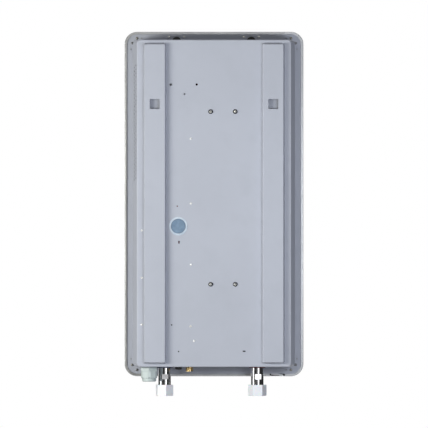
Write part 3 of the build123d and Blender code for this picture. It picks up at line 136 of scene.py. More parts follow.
# Pipe nipples with their G 3/4 thread
PIPE_AXIS_Y = -0.062
THREAD_CREST = 0.0132
THREAD_ROOT = 0.01215
THREAD_PITCH = 0.001814
THREAD_LENGTH = 0.0165
THREAD_ROWS_PER_TURN = 8
THREAD_FLAT_SHARE = 0.12
THREAD_END_BEVEL = 0.0006
NIPPLE_RADIUS = 0.0126
NIPPLE_BORE = 0.0095
NIPPLE_COLLAR_RADIUS = 0.016
NIPPLE_COLLAR_HEIGHT = 0.003
NIPPLE_SPIGOT_RADIUS = 0.011
NIPPLE_SPIGOT_HEIGHT = 0.015
FLAT_ACROSS = 0.021
FLAT_HEIGHT = 0.010
FLAT_RISE = 0.0113
NIPPLE_STEPS = 72

# The ways that the wrench flats face, in degrees about Z
RETURN_FLAT_TURN = 90.0
FLOW_FLAT_TURN = 98.0

# The round plug, whose disc darkens towards its edge over this part of its radius: painted shade from its
# raised rim
PLUG_DISC_RADIUS = 0.0149
PLUG_RIM_SOFTNESS = 0.0006
PLUG_SHADE_START = 0.82
PLUG_SHADE_END = 0.97

# The display's window in the front glass
WINDOW_INSET = 0.004
WINDOW_SOFTNESS = 0.001


class Finish:
    """A material's nodes, with one short call for each pattern that its surface shows."""

    def __init__(self, name, colour, roughness, metallic=0.0):
        self.material = bpy.data.materials.new(name)
        self.material.use_nodes = True
        self.tree = self.material.node_tree
        self.shader = self.tree.nodes["Principled BSDF"]
        self.shader.inputs["Base Color"].default_value = (*colour, 1.0)
        self.shader.inputs["Roughness"].default_value = roughness
        self.shader.inputs["Metallic"].default_value = metallic
        self.place = self.tree.nodes.new("ShaderNodeTexCoord").outputs["Object"]
        self.colour = None
        self.plain_colour = (*colour, 1.0)
        self.normal = None

    def node(self, kind, **settings):
        """Adds a node with the settings given."""
        made = self.tree.nodes.new(kind)
        for name, value in settings.items():
            setattr(made, name, value)
        return made

    def set(self, **values):
        """Sets the shader's own sockets, named with underscores for spaces."""
        for name, value in values.items():
            self.shader.inputs[name.replace("_", " ")].default_value = value
        return self

    def noise(self, scale, detail=3.0, stretch=(1.0, 1.0, 1.0), roughness=0.5):
        """Cloudy noise, with its grain drawn out along the axes of a small stretch."""
        mapping = self.node("ShaderNodeMapping")
        mapping.inputs["Scale"].default_value = stretch
        self.tree.links.new(self.place, mapping.inputs["Vector"])
        texture = self.node("ShaderNodeTexNoise")
        texture.inputs["Scale"].default_value = scale
        texture.inputs["Detail"].default_value = detail
        texture.inputs["Roughness"].default_value = roughness
        self.tree.links.new(mapping.outputs["Vector"], texture.inputs["Vector"])
        return texture.outputs["Fac"]

    def cells(self, scale, feature="F1"):
        """Cell noise: the distance to the nearest of many scattered points, or to the edge of its cell."""
        texture = self.node("ShaderNodeTexVoronoi", feature=feature)
        texture.inputs["Scale"].default_value = scale
        self.tree.links.new(self.place, texture.inputs["Vector"])
        return texture.outputs["Distance"]

    def between(self, value, low, high, start=0.0, end=1.0):
        """Maps a value from low..high to start..end, and holds it there."""
        ramp = self.node("ShaderNodeMapRange")
        ramp.inputs["From Min"].default_value = low
        ramp.inputs["From Max"].default_value = high
        ramp.inputs["To Min"].default_value = start
        ramp.inputs["To Max"].default_value = end
        self.tree.links.new(value, ramp.inputs["Value"])
        return ramp.outputs["Result"]

    def times(self, first, second):
        """The product of two values."""
        product = self.node("ShaderNodeMath", operation="MULTIPLY")
        for socket, value in zip(product.inputs, (first, second)):
            if isinstance(value, float):
                socket.default_value = value
            else:
                self.tree.links.new(value, socket)
        return product.outputs["Value"]

    def tint(self, factor, colour):
        """Blends another colour over the surface where the factor is high."""
        mix = self.node("ShaderNodeMix", data_type="RGBA")
        sockets = [socket for socket in mix.inputs if socket.type == "RGBA"]
        if self.colour is None:
            sockets[0].default_value = self.plain_colour
        else:
            self.tree.links.new(self.colour, sockets[0])
        sockets[1].default_value = (*colour, 1.0)
        self.tree.links.new(factor, mix.inputs["Factor"])
        self.colour = [socket for socket in mix.outputs if socket.type == "RGBA"][0]
        self.tree.links.new(self.colour, self.shader.inputs["Base Color"])
        return self

    def shine(self, factor, low, high):
        """Lets the roughness wander between two values."""
        roughness = self.between(factor, NOISE_LOW, NOISE_HIGH, low, high)
        self.tree.links.new(roughness, self.shader.inputs["Roughness"])
        return self

    def relief(self, height, depth):
        """Raises the surface by up to a depth in metres."""
        bump = self.node("ShaderNodeBump")
        bump.inputs["Distance"].default_value = depth
        self.tree.links.new(height, bump.inputs["Height"])
        if self.normal is not None:
            self.tree.links.new(self.normal, bump.inputs["Normal"])
        self.normal = bump.outputs["Normal"]
        self.tree.links.new(self.normal, self.shader.inputs["Normal"])
        return self


def shade(colour, factor):
    """A colour made lighter or darker."""
    return tuple(min(1.0, channel * factor) for channel in colour)


def powder_coat(name, colour):
    """Satin powder coat: orange peel, faint clouds in the colour and fine specks of dust."""
    finish = Finish(name, colour, 0.45)
    finish.tint(finish.between(finish.noise(6.0, 2.0), 0.35, 0.7), shade(colour, 1.05))
    finish.tint(finish.between(finish.noise(23.0, 4.0), 0.5, 0.8, 0.0, 0.5), shade(colour, 0.93))
    finish.tint(finish.between(finish.cells(240.0), 0.0, 0.12, 0.25, 0.0), shade(colour, 0.7))
    finish.shine(finish.noise(60.0, 3.0), 0.38, 0.52)
    finish.relief(finish.noise(620.0, 2.0), 0.00002)
    return finish.relief(finish.noise(150.0, 2.0), 0.00003).material


def silver_paint(name, colour):
    """Metallic lacquer: fine flakes under a clear coat."""
    finish = Finish(name, colour, 0.34, 0.75)
    finish.tint(finish.between(finish.cells(1500.0), 0.1, 0.5), shade(colour, 0.86))
    finish.tint(finish.between(finish.noise(14.0), 0.4, 0.7, 0.0, 0.6), shade(colour, 1.05))
    finish.shine(finish.noise(90.0), 0.28, 0.40)
    return finish.relief(finish.noise(420.0, 2.0), 0.00001).set(Coat_Weight=0.3).material


def moulded(name, colour, low=0.35, high=0.55, grain=0.00003, scale=700.0):
    """Moulded plastic: a spark-eroded grain, slight flow marks and handling marks."""
    finish = Finish(name, colour, (low + high) / 2)
    finish.tint(finish.between(finish.noise(45.0, 3.0), 0.4, 0.75, 0.0, 0.7), shade(colour, 0.9))
    finish.tint(finish.between(finish.noise(160.0, 5.0), 0.55, 0.8, 0.0, 0.5), shade(colour, 1.15))
    finish.shine(finish.noise(110.0, 4.0), low, high)
    return finish.relief(finish.noise(scale, 3.0), grain).material


def milky_plastic(name, colour):
    """White polyethylene: light passes a little way in, with a soft, waxy shine."""
    finish = Finish(name, colour, 0.42)
    finish.tint(finish.between(finish.noise(55.0, 3.0), 0.4, 0.7, 0.0, 0.6), shade(colour, 0.94))
    finish.shine(finish.noise(130.0, 3.0), 0.34, 0.50)
    finish.relief(finish.noise(380.0, 3.0), 0.00003)
    finish.set(Subsurface_Weight=0.15, Subsurface_Scale=0.003)
    return finish.material


def brushed(name, colour, stretch, low=0.22, high=0.42):
    """Brushed, drawn or blackened metal, its lines drawn out along the axis of a small stretch."""
    finish = Finish(name, colour, (low + high) / 2, 1.0)
    lines = finish.noise(900.0, 4.0, stretch)
    finish.tint(finish.between(lines, 0.35, 0.7), shade(colour, 0.78))
    finish.tint(finish.between(finish.noise(40.0, 3.0), 0.5, 0.8, 0.0, 0.6), shade(colour, 0.85))
    finish.shine(finish.noise(70.0, 3.0), low, high)
    return finish.relief(lines, 0.00001).material


def zinc(name, colour, metallic=1.0):
    """Bright zinc or aluminium on small pieces: spangles and a yellowish film."""
    finish = Finish(name, colour, 0.3, metallic)
    finish.tint(finish.between(finish.cells(380.0), 0.2, 0.7, 0.0, 0.7), shade(colour, 0.75))
    finish.tint(finish.between(finish.noise(190.0, 3.0), 0.45, 0.7, 0.0, 0.4), (0.62, 0.58, 0.44))
    finish.shine(finish.noise(260.0, 3.0), 0.2, 0.42)
    return finish.relief(finish.noise(900.0, 3.0), 0.00001).material


def chrome(name, colour):
    """Polished chrome with slight waves and water marks."""
    finish = Finish(name, colour, 0.06, 1.0)
    finish.tint(finish.between(finish.noise(80.0, 4.0), 0.55, 0.75, 0.0, 0.35), shade(colour, 0.82))
    finish.shine(finish.noise(150.0, 4.0), 0.04, 0.13)
    return finish.relief(finish.noise(60.0, 2.0), 0.00004).material


def turned_metal(name, colour, low=0.18, high=0.36):
    """Turned metal: fine rings across the axis and darker stains."""
    finish = Finish(name, colour, (low + high) / 2, 1.0)
    rings = finish.noise(1400.0, 2.0, (0.04, 0.04, 1.0))
    finish.tint(finish.between(rings, 0.4, 0.7, 0.0, 0.6), shade(colour, 0.8))
    finish.tint(finish.between(finish.noise(120.0, 4.0), 0.55, 0.8, 0.0, 0.6), shade(colour, 0.5))
    finish.shine(finish.noise(200.0, 3.0), low, high)
    return finish.relief(rings, 0.00001).material


def rubber(name, colour):
    """Black rubber with bloom and a fine grain."""
    finish = Finish(name, colour, 0.7)
    finish.tint(finish.between(finish.noise(70.0, 4.0), 0.5, 0.8, 0.0, 0.5), (0.09, 0.09, 0.095))
    finish.shine(finish.noise(120.0, 3.0), 0.58, 0.8)
    return finish.relief(finish.noise(800.0, 3.0), 0.00005).material


def casting(name, colour):
    """Painted cast iron: a sandy skin with thinner paint on the high spots."""
    finish = Finish(name, colour, 0.55)
    sand = finish.noise(420.0, 6.0)
    finish.tint(finish.between(sand, 0.55, 0.75, 0.0, 0.6), (0.16, 0.16, 0.165))
    finish.shine(finish.noise(90.0, 4.0), 0.45, 0.68)
    return finish.relief(sand, 0.00025).material


def enamel(name, colour):
    """Gloss enamel with runs and small chips."""
    finish = Finish(name, colour, 0.28)
    finish.tint(finish.between(finish.noise(18.0, 3.0), 0.4, 0.7), shade(colour, 0.75))
    finish.tint(finish.between(finish.cells(90.0), 0.0, 0.06, 0.7, 0.0), (0.2, 0.19, 0.18))
    finish.shine(finish.noise(50.0, 3.0), 0.2, 0.36)
    return finish.relief(finish.noise(120.0, 2.0), 0.00006).material


def circuit_board(name, colour):
    """Green solder mask with copper tracks showing through as a grid of cells."""
    finish = Finish(name, colour, 0.35)
    tracks = finish.between(finish.cells(160.0, "DISTANCE_TO_EDGE"), 0.02, 0.05, 1.0, 0.0)
    finish.tint(tracks, (0.05, 0.30, 0.12))
    pads = finish.between(finish.cells(330.0), 0.0, 0.16, 1.0, 0.0)
    finish.tint(pads, (0.62, 0.60, 0.50))
    finish.shine(finish.noise(150.0, 3.0), 0.28, 0.42)
    return finish.relief(tracks, 0.00003).material


def black_glass(name, colour):
    """Tempered glass with a black print behind it and a darker window for the display."""
    finish = Finish(name, colour, 0.05)
    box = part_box("display_module")
    axes = finish.node("ShaderNodeSeparateXYZ")
    finish.tree.links.new(finish.place, axes.inputs["Vector"])
    inside = None
    for axis, low, high in (("X", box[0].x, box[1].x), ("Z", box[0].z, box[1].z)):
        middle = (low + high) / 2
        half = (high - low) / 2
        away = finish.node("ShaderNodeMath", operation="SUBTRACT")
        finish.tree.links.new(axes.outputs[axis], away.inputs[0])
        away.inputs[1].default_value = middle
        size = finish.node("ShaderNodeMath", operation="ABSOLUTE")
        finish.tree.links.new(away.outputs["Value"], size.inputs[0])
        edge = half - WINDOW_INSET
        part = finish.between(size.outputs["Value"], edge, edge + WINDOW_SOFTNESS, 1.0, 0.0)
        inside = part if inside is None else finish.times(inside, part)
    finish.tint(inside, shade(colour, 0.4))
    finish.tint(finish.between(finish.noise(9.0, 2.0), 0.4, 0.8, 0.0, 0.3), shade(colour, 1.3))
    finish.shine(finish.noise(25.0, 4.0), 0.03, 0.09)
    return finish.set(Specular_IOR_Level=0.3).material


def plug_plastic(name, rim_colour, disc_colour):
    """The round plug: a pale rim round a deeper blue-grey disc, with painted shade darkening the disc
    towards its edge under the rim, and lighter clouds painted on the disc as the light that shows through
    it.
    """
    finish = Finish(name, rim_colour, 0.3)
    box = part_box("valve_plug")
    middle = (box[0] + box[1]) / 2
    flat = finish.node("ShaderNodeVectorMath", operation="MULTIPLY")
    finish.tree.links.new(finish.place, flat.inputs[0])
    flat.inputs[1].default_value = (1.0, 0.0, 1.0)
    away = finish.node("ShaderNodeVectorMath", operation="DISTANCE")
    finish.tree.links.new(flat.outputs["Vector"], away.inputs[0])
    away.inputs[1].default_value = (middle.x, 0.0, middle.z)
    radius = away.outputs["Value"]
    disc = finish.between(radius, PLUG_DISC_RADIUS - PLUG_RIM_SOFTNESS, PLUG_DISC_RADIUS, 1.0, 0.0)
    finish.tint(disc, disc_colour)
    # Painted shade: the disc darkens towards its edge, where its raised rim shadows it
    edge = finish.between(radius, PLUG_DISC_RADIUS * PLUG_SHADE_START, PLUG_DISC_RADIUS * PLUG_SHADE_END)
    finish.tint(finish.times(finish.times(edge, disc), 0.6), shade(disc_colour, 0.5))
    # Painted light: lighter clouds on the disc stand in for light showing through it
    finish.tint(finish.between(finish.noise(120.0, 3.0), 0.45, 0.7, 0.0, 0.35), shade(disc_colour, 1.5))
    finish.shine(finish.noise(90.0, 3.0), 0.2, 0.36)
    finish.relief(finish.noise(160.0, 2.0), 0.00008)
    return finish.set(Coat_Weight=0.3, Coat_Roughness=0.1).material


def heat_tinted(name, colour):
    """A drawn alloy sheath, straw and blue from its heat."""
    finish = Finish(name, colour, 0.35, 1.0)
    finish.tint(finish.between(finish.noise(30.0, 2.0), 0.4, 0.6, 0.0, 0.5), (0.42, 0.30, 0.16))
    finish.tint(finish.between(finish.noise(22.0, 2.0), 0.55, 0.7, 0.0, 0.5), (0.12, 0.14, 0.26))
    finish.shine(finish.noise(240.0, 3.0), 0.26, 0.46)
    return finish.relief(finish.noise(700.0, 3.0), 0.00001).material


materials = {
    "casing": powder_coat("casing_powder_coat", (0.430, 0.452, 0.530)),
    "frame": silver_paint("frame_silver", (0.46, 0.465, 0.475)),
    "glass": black_glass("front_black_glass", (0.012, 0.013, 0.016)),
    "zinc": zinc("bright_zinc", (0.66, 0.67, 0.68)),
    # Painted shade: zinc darkened so the corner screws show the shadow ring round their recessed heads
    "shade_darkened_zinc": zinc("shade_darkened_zinc", (0.17, 0.175, 0.19)),
    # Painted shade: zinc darkened so the tank bolts' heads show the shadow ring round them
    "shade_darkened_bolt_zinc": zinc("shade_darkened_bolt_zinc", (0.34, 0.345, 0.36)),
    # Near-white, half-metallic aluminium: the rivets' own light colour, with painted highlight standing in
    # for the glint on their domed heads
    "rivet": zinc("rivet_aluminium_painted_glint", (0.93, 0.93, 0.95), 0.5),
    "black_oxide": brushed("black_oxide", (0.035, 0.036, 0.040), (1.0, 1.0, 1.0), 0.35, 0.55),
    "plug": plug_plastic("plug_plastic", (0.60, 0.67, 0.76), (0.17, 0.25, 0.36)),
    "chrome": chrome("nipple_chrome", (0.82, 0.82, 0.84)),
    "cold_ring": moulded("cold_ring_plastic", (0.010, 0.018, 0.11)),
    "hot_ring": moulded("hot_ring_plastic", (0.14, 0.006, 0.012)),
    "cap": milky_plastic("cap_polyethylene", (0.88, 0.89, 0.96)),
    "gland": moulded("gland_polyamide", (0.54, 0.61, 0.62), 0.32, 0.5),
    "rubber": rubber("black_rubber", (0.022, 0.022, 0.024)),
    "brass": turned_metal("turned_brass", (0.72, 0.52, 0.24)),
    "black_plastic": moulded("black_moulding", (0.018, 0.018, 0.020)),
    "white_plastic": moulded("white_rocker", (0.84, 0.84, 0.85), 0.18, 0.3, 0.00001),
    "tank": brushed("tank_steel", (0.56, 0.56, 0.55), (1.0, 1.0, 0.05)),
    "copper": brushed("drawn_copper", (0.74, 0.36, 0.22), (1.0, 1.0, 0.05), 0.2, 0.4),
    "element": heat_tinted("element_sheath", (0.34, 0.34, 0.33)),
    "iron": casting("pump_casting", (0.055, 0.060, 0.066)),
    "motor": enamel("motor_paint", (0.03, 0.035, 0.05)),
    "vessel": enamel("vessel_enamel", (0.17, 0.012, 0.010)),
    "board": circuit_board("circuit_board", (0.008, 0.11, 0.045)),
    "aluminium": brushed("milled_aluminium", (0.74, 0.74, 0.75), (1.0, 0.05, 1.0), 0.25, 0.4),
    "sheet": brushed("galvanised_sheet", (0.58, 0.59, 0.60), (0.4, 1.0, 1.0), 0.3, 0.5),
    "red_plastic": moulded("red_moulding", (0.42, 0.02, 0.015), 0.25, 0.42),
    "wire": moulded("silicone_wire", (0.42, 0.03, 0.02), 0.45, 0.6),
}

node_finish = {
    "rear_casing": "casing", "left_wall_rail": "casing", "right_wall_rail": "casing",
    "front_frame": "frame", "front_glass": "glass", "frame_screws": "shade_darkened_zinc",
    "cover_hooks": "black_plastic", "cover_hook_screws": "zinc", "panel_rivets": "rivet",
    "valve_plug": "plug", "tank_bolts": "shade_darkened_bolt_zinc", "tank_washers": "black_oxide",
    "return_nipple": "chrome", "flow_nipple": "chrome", "cold_marker_ring": "cold_ring",
    "hot_marker_ring": "hot_ring", "return_cap": "cap", "flow_cap": "cap",
    "return_cap_washer": "rubber", "flow_cap_washer": "rubber", "union_nuts": "brass",
    "gland_body": "gland", "gland_locknut": "gland", "gland_seal": "rubber", "gland_nut": "gland",
    "relief_outlet": "brass", "relief_valve": "brass", "relief_knob": "red_plastic",
    "lead_bush": "rubber", "switch_housing": "black_plastic", "power_rocker": "white_plastic",
    "heating_tank": "tank", "tank_saddles": "sheet", "tank_bands": "sheet",
    "tank_gasket": "rubber", "tank_cover": "tank", "tank_cover_bolts": "zinc",
    "heating_elements": "element", "limit_thermostat": "black_plastic", "air_vent": "brass",
    "riser_pipes": "copper", "discharge_pipe": "copper", "flow_pipe": "copper",
    "flow_sensor": "black_plastic", "flow_turbine": "white_plastic", "pump_housing": "iron",
    "pump_motor": "motor", "pump_rotor": "black_plastic", "pump_mounts": "rubber",
    "expansion_vessel": "vessel", "vessel_straps": "sheet", "vessel_pipe": "copper",
    "board_bracket": "sheet", "control_board": "board", "power_relays": "black_plastic",
    "heat_sink": "aluminium", "element_wires": "wire", "terminal_block": "gland",
    "terminal_stand": "sheet", "display_module": "black_plastic",
}


def dress_node(name, finish):
    """Gives a CAD node its finish in place of the plain one."""
    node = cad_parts[name]
    node.data.materials.clear()
    node.data.materials.append(materials[finish])


def skin(mesh, rings, loop=False):
    """Joins rings of points into a closed surface. A ring of one point is a pole."""
    made = [[mesh.verts.new(point) for point in ring] for ring in rings]
    pairs = list(zip(made, made[1:]))
    if loop:
        pairs.append((made[-1], made[0]))
    for low, high in pairs:
        count = max(len(low), len(high))
        for i in range(count):
            j = (i + 1) % count
            corners = (low[i % len(low)], low[j % len(low)], high[j % len(high)], high[i % len(high)])
            mesh.faces.new(list(dict.fromkeys(corners)))


def ring(radius, height, steps):
    """A ring of points about the Z axis, or its middle where the radius is nothing."""
    if radius == 0.0:
        return [Vector((0.0, 0.0, height))]
    turns = [2 * pi * i / steps for i in range(steps)]
    return [Vector((radius * cos(turn), radius * sin(turn), height)) for turn in turns]


def lathe(profile, steps=40):
    """A turned shape standing on Z, from its (radius, height) points."""
    mesh = bmesh.new()
    skin(mesh, [ring(radius, height, steps) for radius, height in profile])
    return settle(mesh)


def as_data(mesh, name):
    """Turns a mesh that is under construction into plain mesh data."""
    data = bpy.data.meshes.new(name)
    mesh.to_mesh(data)
    mesh.free()
    return data


def settle(mesh):
    """Welds doubled points, faces everything outwards and returns smooth mesh data."""
    bmesh.ops.remove_doubles(mesh, verts=mesh.verts, dist=1e-6)
    bmesh.ops.recalc_face_normals(mesh, faces=mesh.faces)
    for face in mesh.faces:
        face.smooth = True
    return as_data(mesh, "shape")


def shank_profile(radius, length, point_radius, point_length):
    """The profile of a shank, from the middle of its tip up to the seat of its head."""
    return [(0.0, -length), (point_radius, -length), (radius, point_length - length), (radius, 0.0)]


def rounded_head(radius, height, rise):
    """The profile of a domed head on its seat, with a quarter of an ellipse over its side."""
    steps = 8
    curve = [
        (radius * cos(pi / 2 * i / steps), height - rise + rise * sin(pi / 2 * i / steps))
        for i in range(steps)
    ]
    return [(radius, 0.0)] + curve + [(0.0, height)]


def carve(data, cutter):
    """The shape with another one taken out of it."""
    target = bpy.data.objects.new("target", data)
    tool = bpy.data.objects.new("tool", cutter)
    for thing in (target, tool):
        bpy.context.scene.collection.objects.link(thing)
    modifier = target.modifiers.new("carve", "BOOLEAN")
    modifier.operation = "DIFFERENCE"
    modifier.solver = "EXACT"
    modifier.object = tool
    graph = bpy.context.evaluated_depsgraph_get()
    result = bpy.data.meshes.new_from_object(target.evaluated_get(graph))
    for thing in (target, tool):
        bpy.data.objects.remove(thing)
    return result


def prism(outline, bottom, top, spread=1.0):
    """A straight or flaring block from a closed outline."""
    mesh = bmesh.new()
    low = [mesh.verts.new((x, y, bottom)) for x, y in outline]
    high = [mesh.verts.new((x * spread, y * spread, top)) for x, y in outline]
    mesh.faces.new(low)
    mesh.faces.new(high)
    for i in range(len(outline)):
        j = (i + 1) % len(outline)
        mesh.faces.new((low[i], low[j], high[j], high[i]))
    bmesh.ops.recalc_face_normals(mesh, faces=mesh.faces)
    return as_data(mesh, "prism")


def cross_outline(length, width):
    """The outline of a cross with four equal arms, from its half length and half width."""
    quarter = [(width, length), (width, width), (length, width)]
    points = []
    for turn in range(4):
        along = round(cos(pi / 2 * turn))
        across = round(sin(pi / 2 * turn))
        points += [(x * along + y * across, y * along - x * across) for x, y in quarter]
    return points


def solid_boxes(node):
    """The box of each of a node's solids, which all lie along Y and stand apart from each other."""
    solids = []
    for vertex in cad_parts[node].data.vertices:
        point = vertex.co
        for first, low, high in solids:
            if hypot(point.x - first.x, point.z - first.z) < SOLID_REACH:
                for k in range(3):
                    low[k] = min(low[k], point[k])
                    high[k] = max(high[k], point[k])
                break
        else:
            solids.append((point.copy(), point.copy(), point.copy()))
    return [(low, high) for first, low, high in solids]


def piece(name, data, body, finish, replaced):
    """Adds finished mesh data as a piece of the object, in place of CAD nodes."""
    data.set_sharp_from_angle(angle=radians(SHARP_ANGLE))
    thing = bpy.data.objects.new(name, data)
    data.materials.clear()
    data.materials.append(materials[finish])
    bpy.context.scene.collection.objects.link(thing)
    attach(thing, body)
    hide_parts(*replaced)


def stamped(shape, places):
    """One mesh with a copy of a shape at each place, its Z axis turned to +Y and then spun about it."""
    mesh = bmesh.new()
    for i, place in enumerate(places):
        copy = shape.copy()
        spin = Matrix.Rotation(radians(SPIN_STEP * i + SPIN_START), 4, "Z")
        copy.transform(Matrix.Translation(place) @ Matrix.Rotation(radians(-90.0), 4, "X") @ spin)
        mesh.from_mesh(copy)
    return as_data(mesh, "stamped")


def seats(node, head_height):
    """The middle of each fastener's seat in a node, which lies a head's height below its rear end."""
    return [
        Vector(((low.x + high.x) / 2, high.y - head_height, (low.z + high.z) / 2))
        for low, high in solid_boxes(node)
    ]


def make_cross_screws():
    """Pan-head screws with a cross recess, at the corners and beside the hooks."""
    profile = shank_profile(SCREW_SHANK_RADIUS, SCREW_SHANK_LENGTH, SCREW_POINT_RADIUS, SCREW_POINT_LENGTH)
    profile += rounded_head(SCREW_HEAD_RADIUS, SCREW_HEAD_HEIGHT, SCREW_HEAD_RISE)
    outline = cross_outline(CROSS_ARM_LENGTH, CROSS_ARM_WIDTH)
    cross = prism(outline, CROSS_FLOOR, SCREW_HEAD_HEIGHT * CUTTER_TOP, CROSS_FLARE)
    screw = carve(lathe(profile), cross)
    for node, name in (("frame_screws", "corner_cross_screws"), ("cover_hook_screws", "hook_cross_screws")):
        screws = stamped(screw, seats(node, SCREW_HEAD_HEIGHT))
        piece(name, screws, "boiler", node_finish[node], [node])


def make_socket_bolts():
    """Domed bolts with a hexagon socket, which hold the heating tank."""
    profile = shank_profile(BOLT_SHANK_RADIUS, BOLT_SHANK_LENGTH, BOLT_POINT_RADIUS, BOLT_POINT_LENGTH)
    profile += rounded_head(BOLT_HEAD_RADIUS, BOLT_HEAD_HEIGHT, BOLT_HEAD_RISE)
    outline = [(SOCKET_RADIUS * cos(pi / 3 * i), SOCKET_RADIUS * sin(pi / 3 * i)) for i in range(6)]
    bolt = carve(lathe(profile), prism(outline, SOCKET_FLOOR, BOLT_HEAD_HEIGHT * CUTTER_TOP))
    bolts = stamped(bolt, seats("tank_bolts", BOLT_HEAD_HEIGHT))
    piece("tank_socket_bolts", bolts, "boiler", "shade_darkened_bolt_zinc", ["tank_bolts"])


def make_rivets():
    """Blind rivets: a domed head with the sunk end of its mandrel."""
    profile = [(0.0, -RIVET_SHANK_LENGTH), (RIVET_SHANK_RADIUS, -RIVET_SHANK_LENGTH)]
    profile += [(RIVET_SHANK_RADIUS, 0.0), (RIVET_RADIUS, 0.0)]
    for i in range(1, RIVET_DOME_STEPS + 1):
        turn = pi / 2 * i / RIVET_DOME_STEPS
        profile.append((RIVET_RADIUS - (1 - cos(turn)) * RIVET_DOME_RUN, RIVET_HEIGHT * sin(turn)))
    profile += [(RIVET_HOLE_RIM_RADIUS, RIVET_HOLE_RIM), (RIVET_HOLE_RADIUS, RIVET_HOLE_FLOOR)]
    profile += [(MANDREL_RADIUS, RIVET_HOLE_FLOOR), (MANDREL_SHOULDER_RADIUS, MANDREL_SHOULDER)]
    profile.append((0.0, MANDREL_TOP))
    rivets = stamped(lathe(profile, RIVET_STEPS), seats("panel_rivets", RIVET_HEIGHT))
    piece("blind_rivets", rivets, "boiler", "rivet", ["panel_rivets"])


def flat_limit(turn, radius, flat_turn):
    """The radius at a turn, cut by two opposite wrench flats."""
    lean = abs(cos(turn - flat_turn))
    if lean * radius < FLAT_ACROSS / 2:
        return radius
    return FLAT_ACROSS / 2 / lean


def thread_radius(turn, height):
    """The radius of a right-hand thread with flat crests and roots, which rises at both of its ends."""
    phase = (height / THREAD_PITCH - turn / (2 * pi)) % 1.0
    ridge = 1.0 - abs(2.0 * phase - 1.0)
    swell = min(1.0, max(0.0, (ridge - THREAD_FLAT_SHARE) / (1.0 - 2.0 * THREAD_FLAT_SHARE)))
    run_in = min(1.0, height / THREAD_PITCH, (THREAD_LENGTH - height) / THREAD_PITCH)
    return THREAD_ROOT + (THREAD_CREST - THREAD_ROOT) * max(0.0, run_in) * swell


def nipple_rows(top):
    """The nipple's outline up to its top and back to its bore: each row's form, radius and height."""
    flat_low = THREAD_LENGTH + FLAT_RISE
    flat_high = flat_low + FLAT_HEIGHT
    collar_top = top - NIPPLE_SPIGOT_HEIGHT
    shoulder = collar_top - NIPPLE_COLLAR_HEIGHT
    count = round(THREAD_LENGTH / THREAD_PITCH * THREAD_ROWS_PER_TURN)
    rows = [("round", NIPPLE_BORE, 0.0), ("round", THREAD_ROOT - THREAD_END_BEVEL, 0.0)]
    rows += [("thread", THREAD_CREST, THREAD_LENGTH * (i + 1) / (count + 1)) for i in range(count)]
    return rows + [
        ("round", THREAD_ROOT, THREAD_LENGTH), ("round", NIPPLE_RADIUS, THREAD_LENGTH),
        ("round", NIPPLE_RADIUS, flat_low), ("flat", NIPPLE_RADIUS, flat_low),
        ("flat", NIPPLE_RADIUS, flat_high), ("round", NIPPLE_RADIUS, flat_high),
        ("round", NIPPLE_RADIUS, shoulder), ("round", NIPPLE_COLLAR_RADIUS, shoulder),
        ("round", NIPPLE_COLLAR_RADIUS, collar_top), ("round", NIPPLE_SPIGOT_RADIUS, collar_top),
        ("round", NIPPLE_SPIGOT_RADIUS, top), ("round", NIPPLE_BORE, top),
    ]


def make_nipple(node, name, flat_turn):
    """A chromed nipple with its thread, wrench flats, collar and spigot, bored right through."""
    low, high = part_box(node)
    x = (low.x + high.x) / 2
    turns = [2 * pi * i / NIPPLE_STEPS for i in range(NIPPLE_STEPS)]
    rings = []
    for form, radius, height in nipple_rows(high.z - low.z):
        reaches = [radius] * NIPPLE_STEPS
        if form == "thread":
            reaches = [thread_radius(turn, height) for turn in turns]
        if form == "flat":
            reaches = [flat_limit(turn, radius, flat_turn) for turn in turns]
        rings.append([
            Vector((x + reach * cos(turn), PIPE_AXIS_Y + reach * sin(turn), low.z + height))
            for reach, turn in zip(reaches, turns)
        ])
    mesh = bmesh.new()
    skin(mesh, rings, loop=True)
    piece(name, settle(mesh), "boiler", "chrome", [node])


def around(azimuth, elevation, distance):
    """A place round the object. Azimuth 0 is in front of the glass and 180 behind the wall plane."""
    turn = radians(azimuth)
    rise = radians(elevation)
    middle = Vector((0.0, VIEW_DEPTH, VIEW_MIDDLE_Z))
    away = Vector((sin(turn) * cos(rise), -cos(turn) * cos(rise), sin(rise)))
    return middle + distance * away, away


def add_softbox(name, azimuth, elevation, width, height, watts, colour=(1.0, 1.0, 1.0)):
    """A soft area light that faces the object."""
    lamp = bpy.data.lights.new(name, "AREA")
    lamp.shape = "RECTANGLE"
    lamp.size = width
    lamp.size_y = height
    lamp.energy = watts
    lamp.color = colour
    thing = bpy.data.objects.new(name, lamp)
    thing.location, away = around(azimuth, elevation, LIGHT_DISTANCE)
    thing.rotation_euler = away.to_track_quat("Z", "Y").to_euler()
    bpy.context.scene.collection.objects.link(thing)


def see_through_rays(tree):
    """Is 1 for rays that show the background: from the camera, in shiny surfaces or through glass."""
    path = tree.nodes.new("ShaderNodeLightPath")
    total = path.outputs["Is Camera Ray"]
    for name in ("Is Glossy Ray", "Is Transmission Ray"):
        add = tree.nodes.new("ShaderNodeMath")
        add.operation = "ADD"
        add.use_clamp = True
        tree.links.new(total, add.inputs[0])
        tree.links.new(path.outputs[name], add.inputs[1])
        total = add.outputs["Value"]
    return total


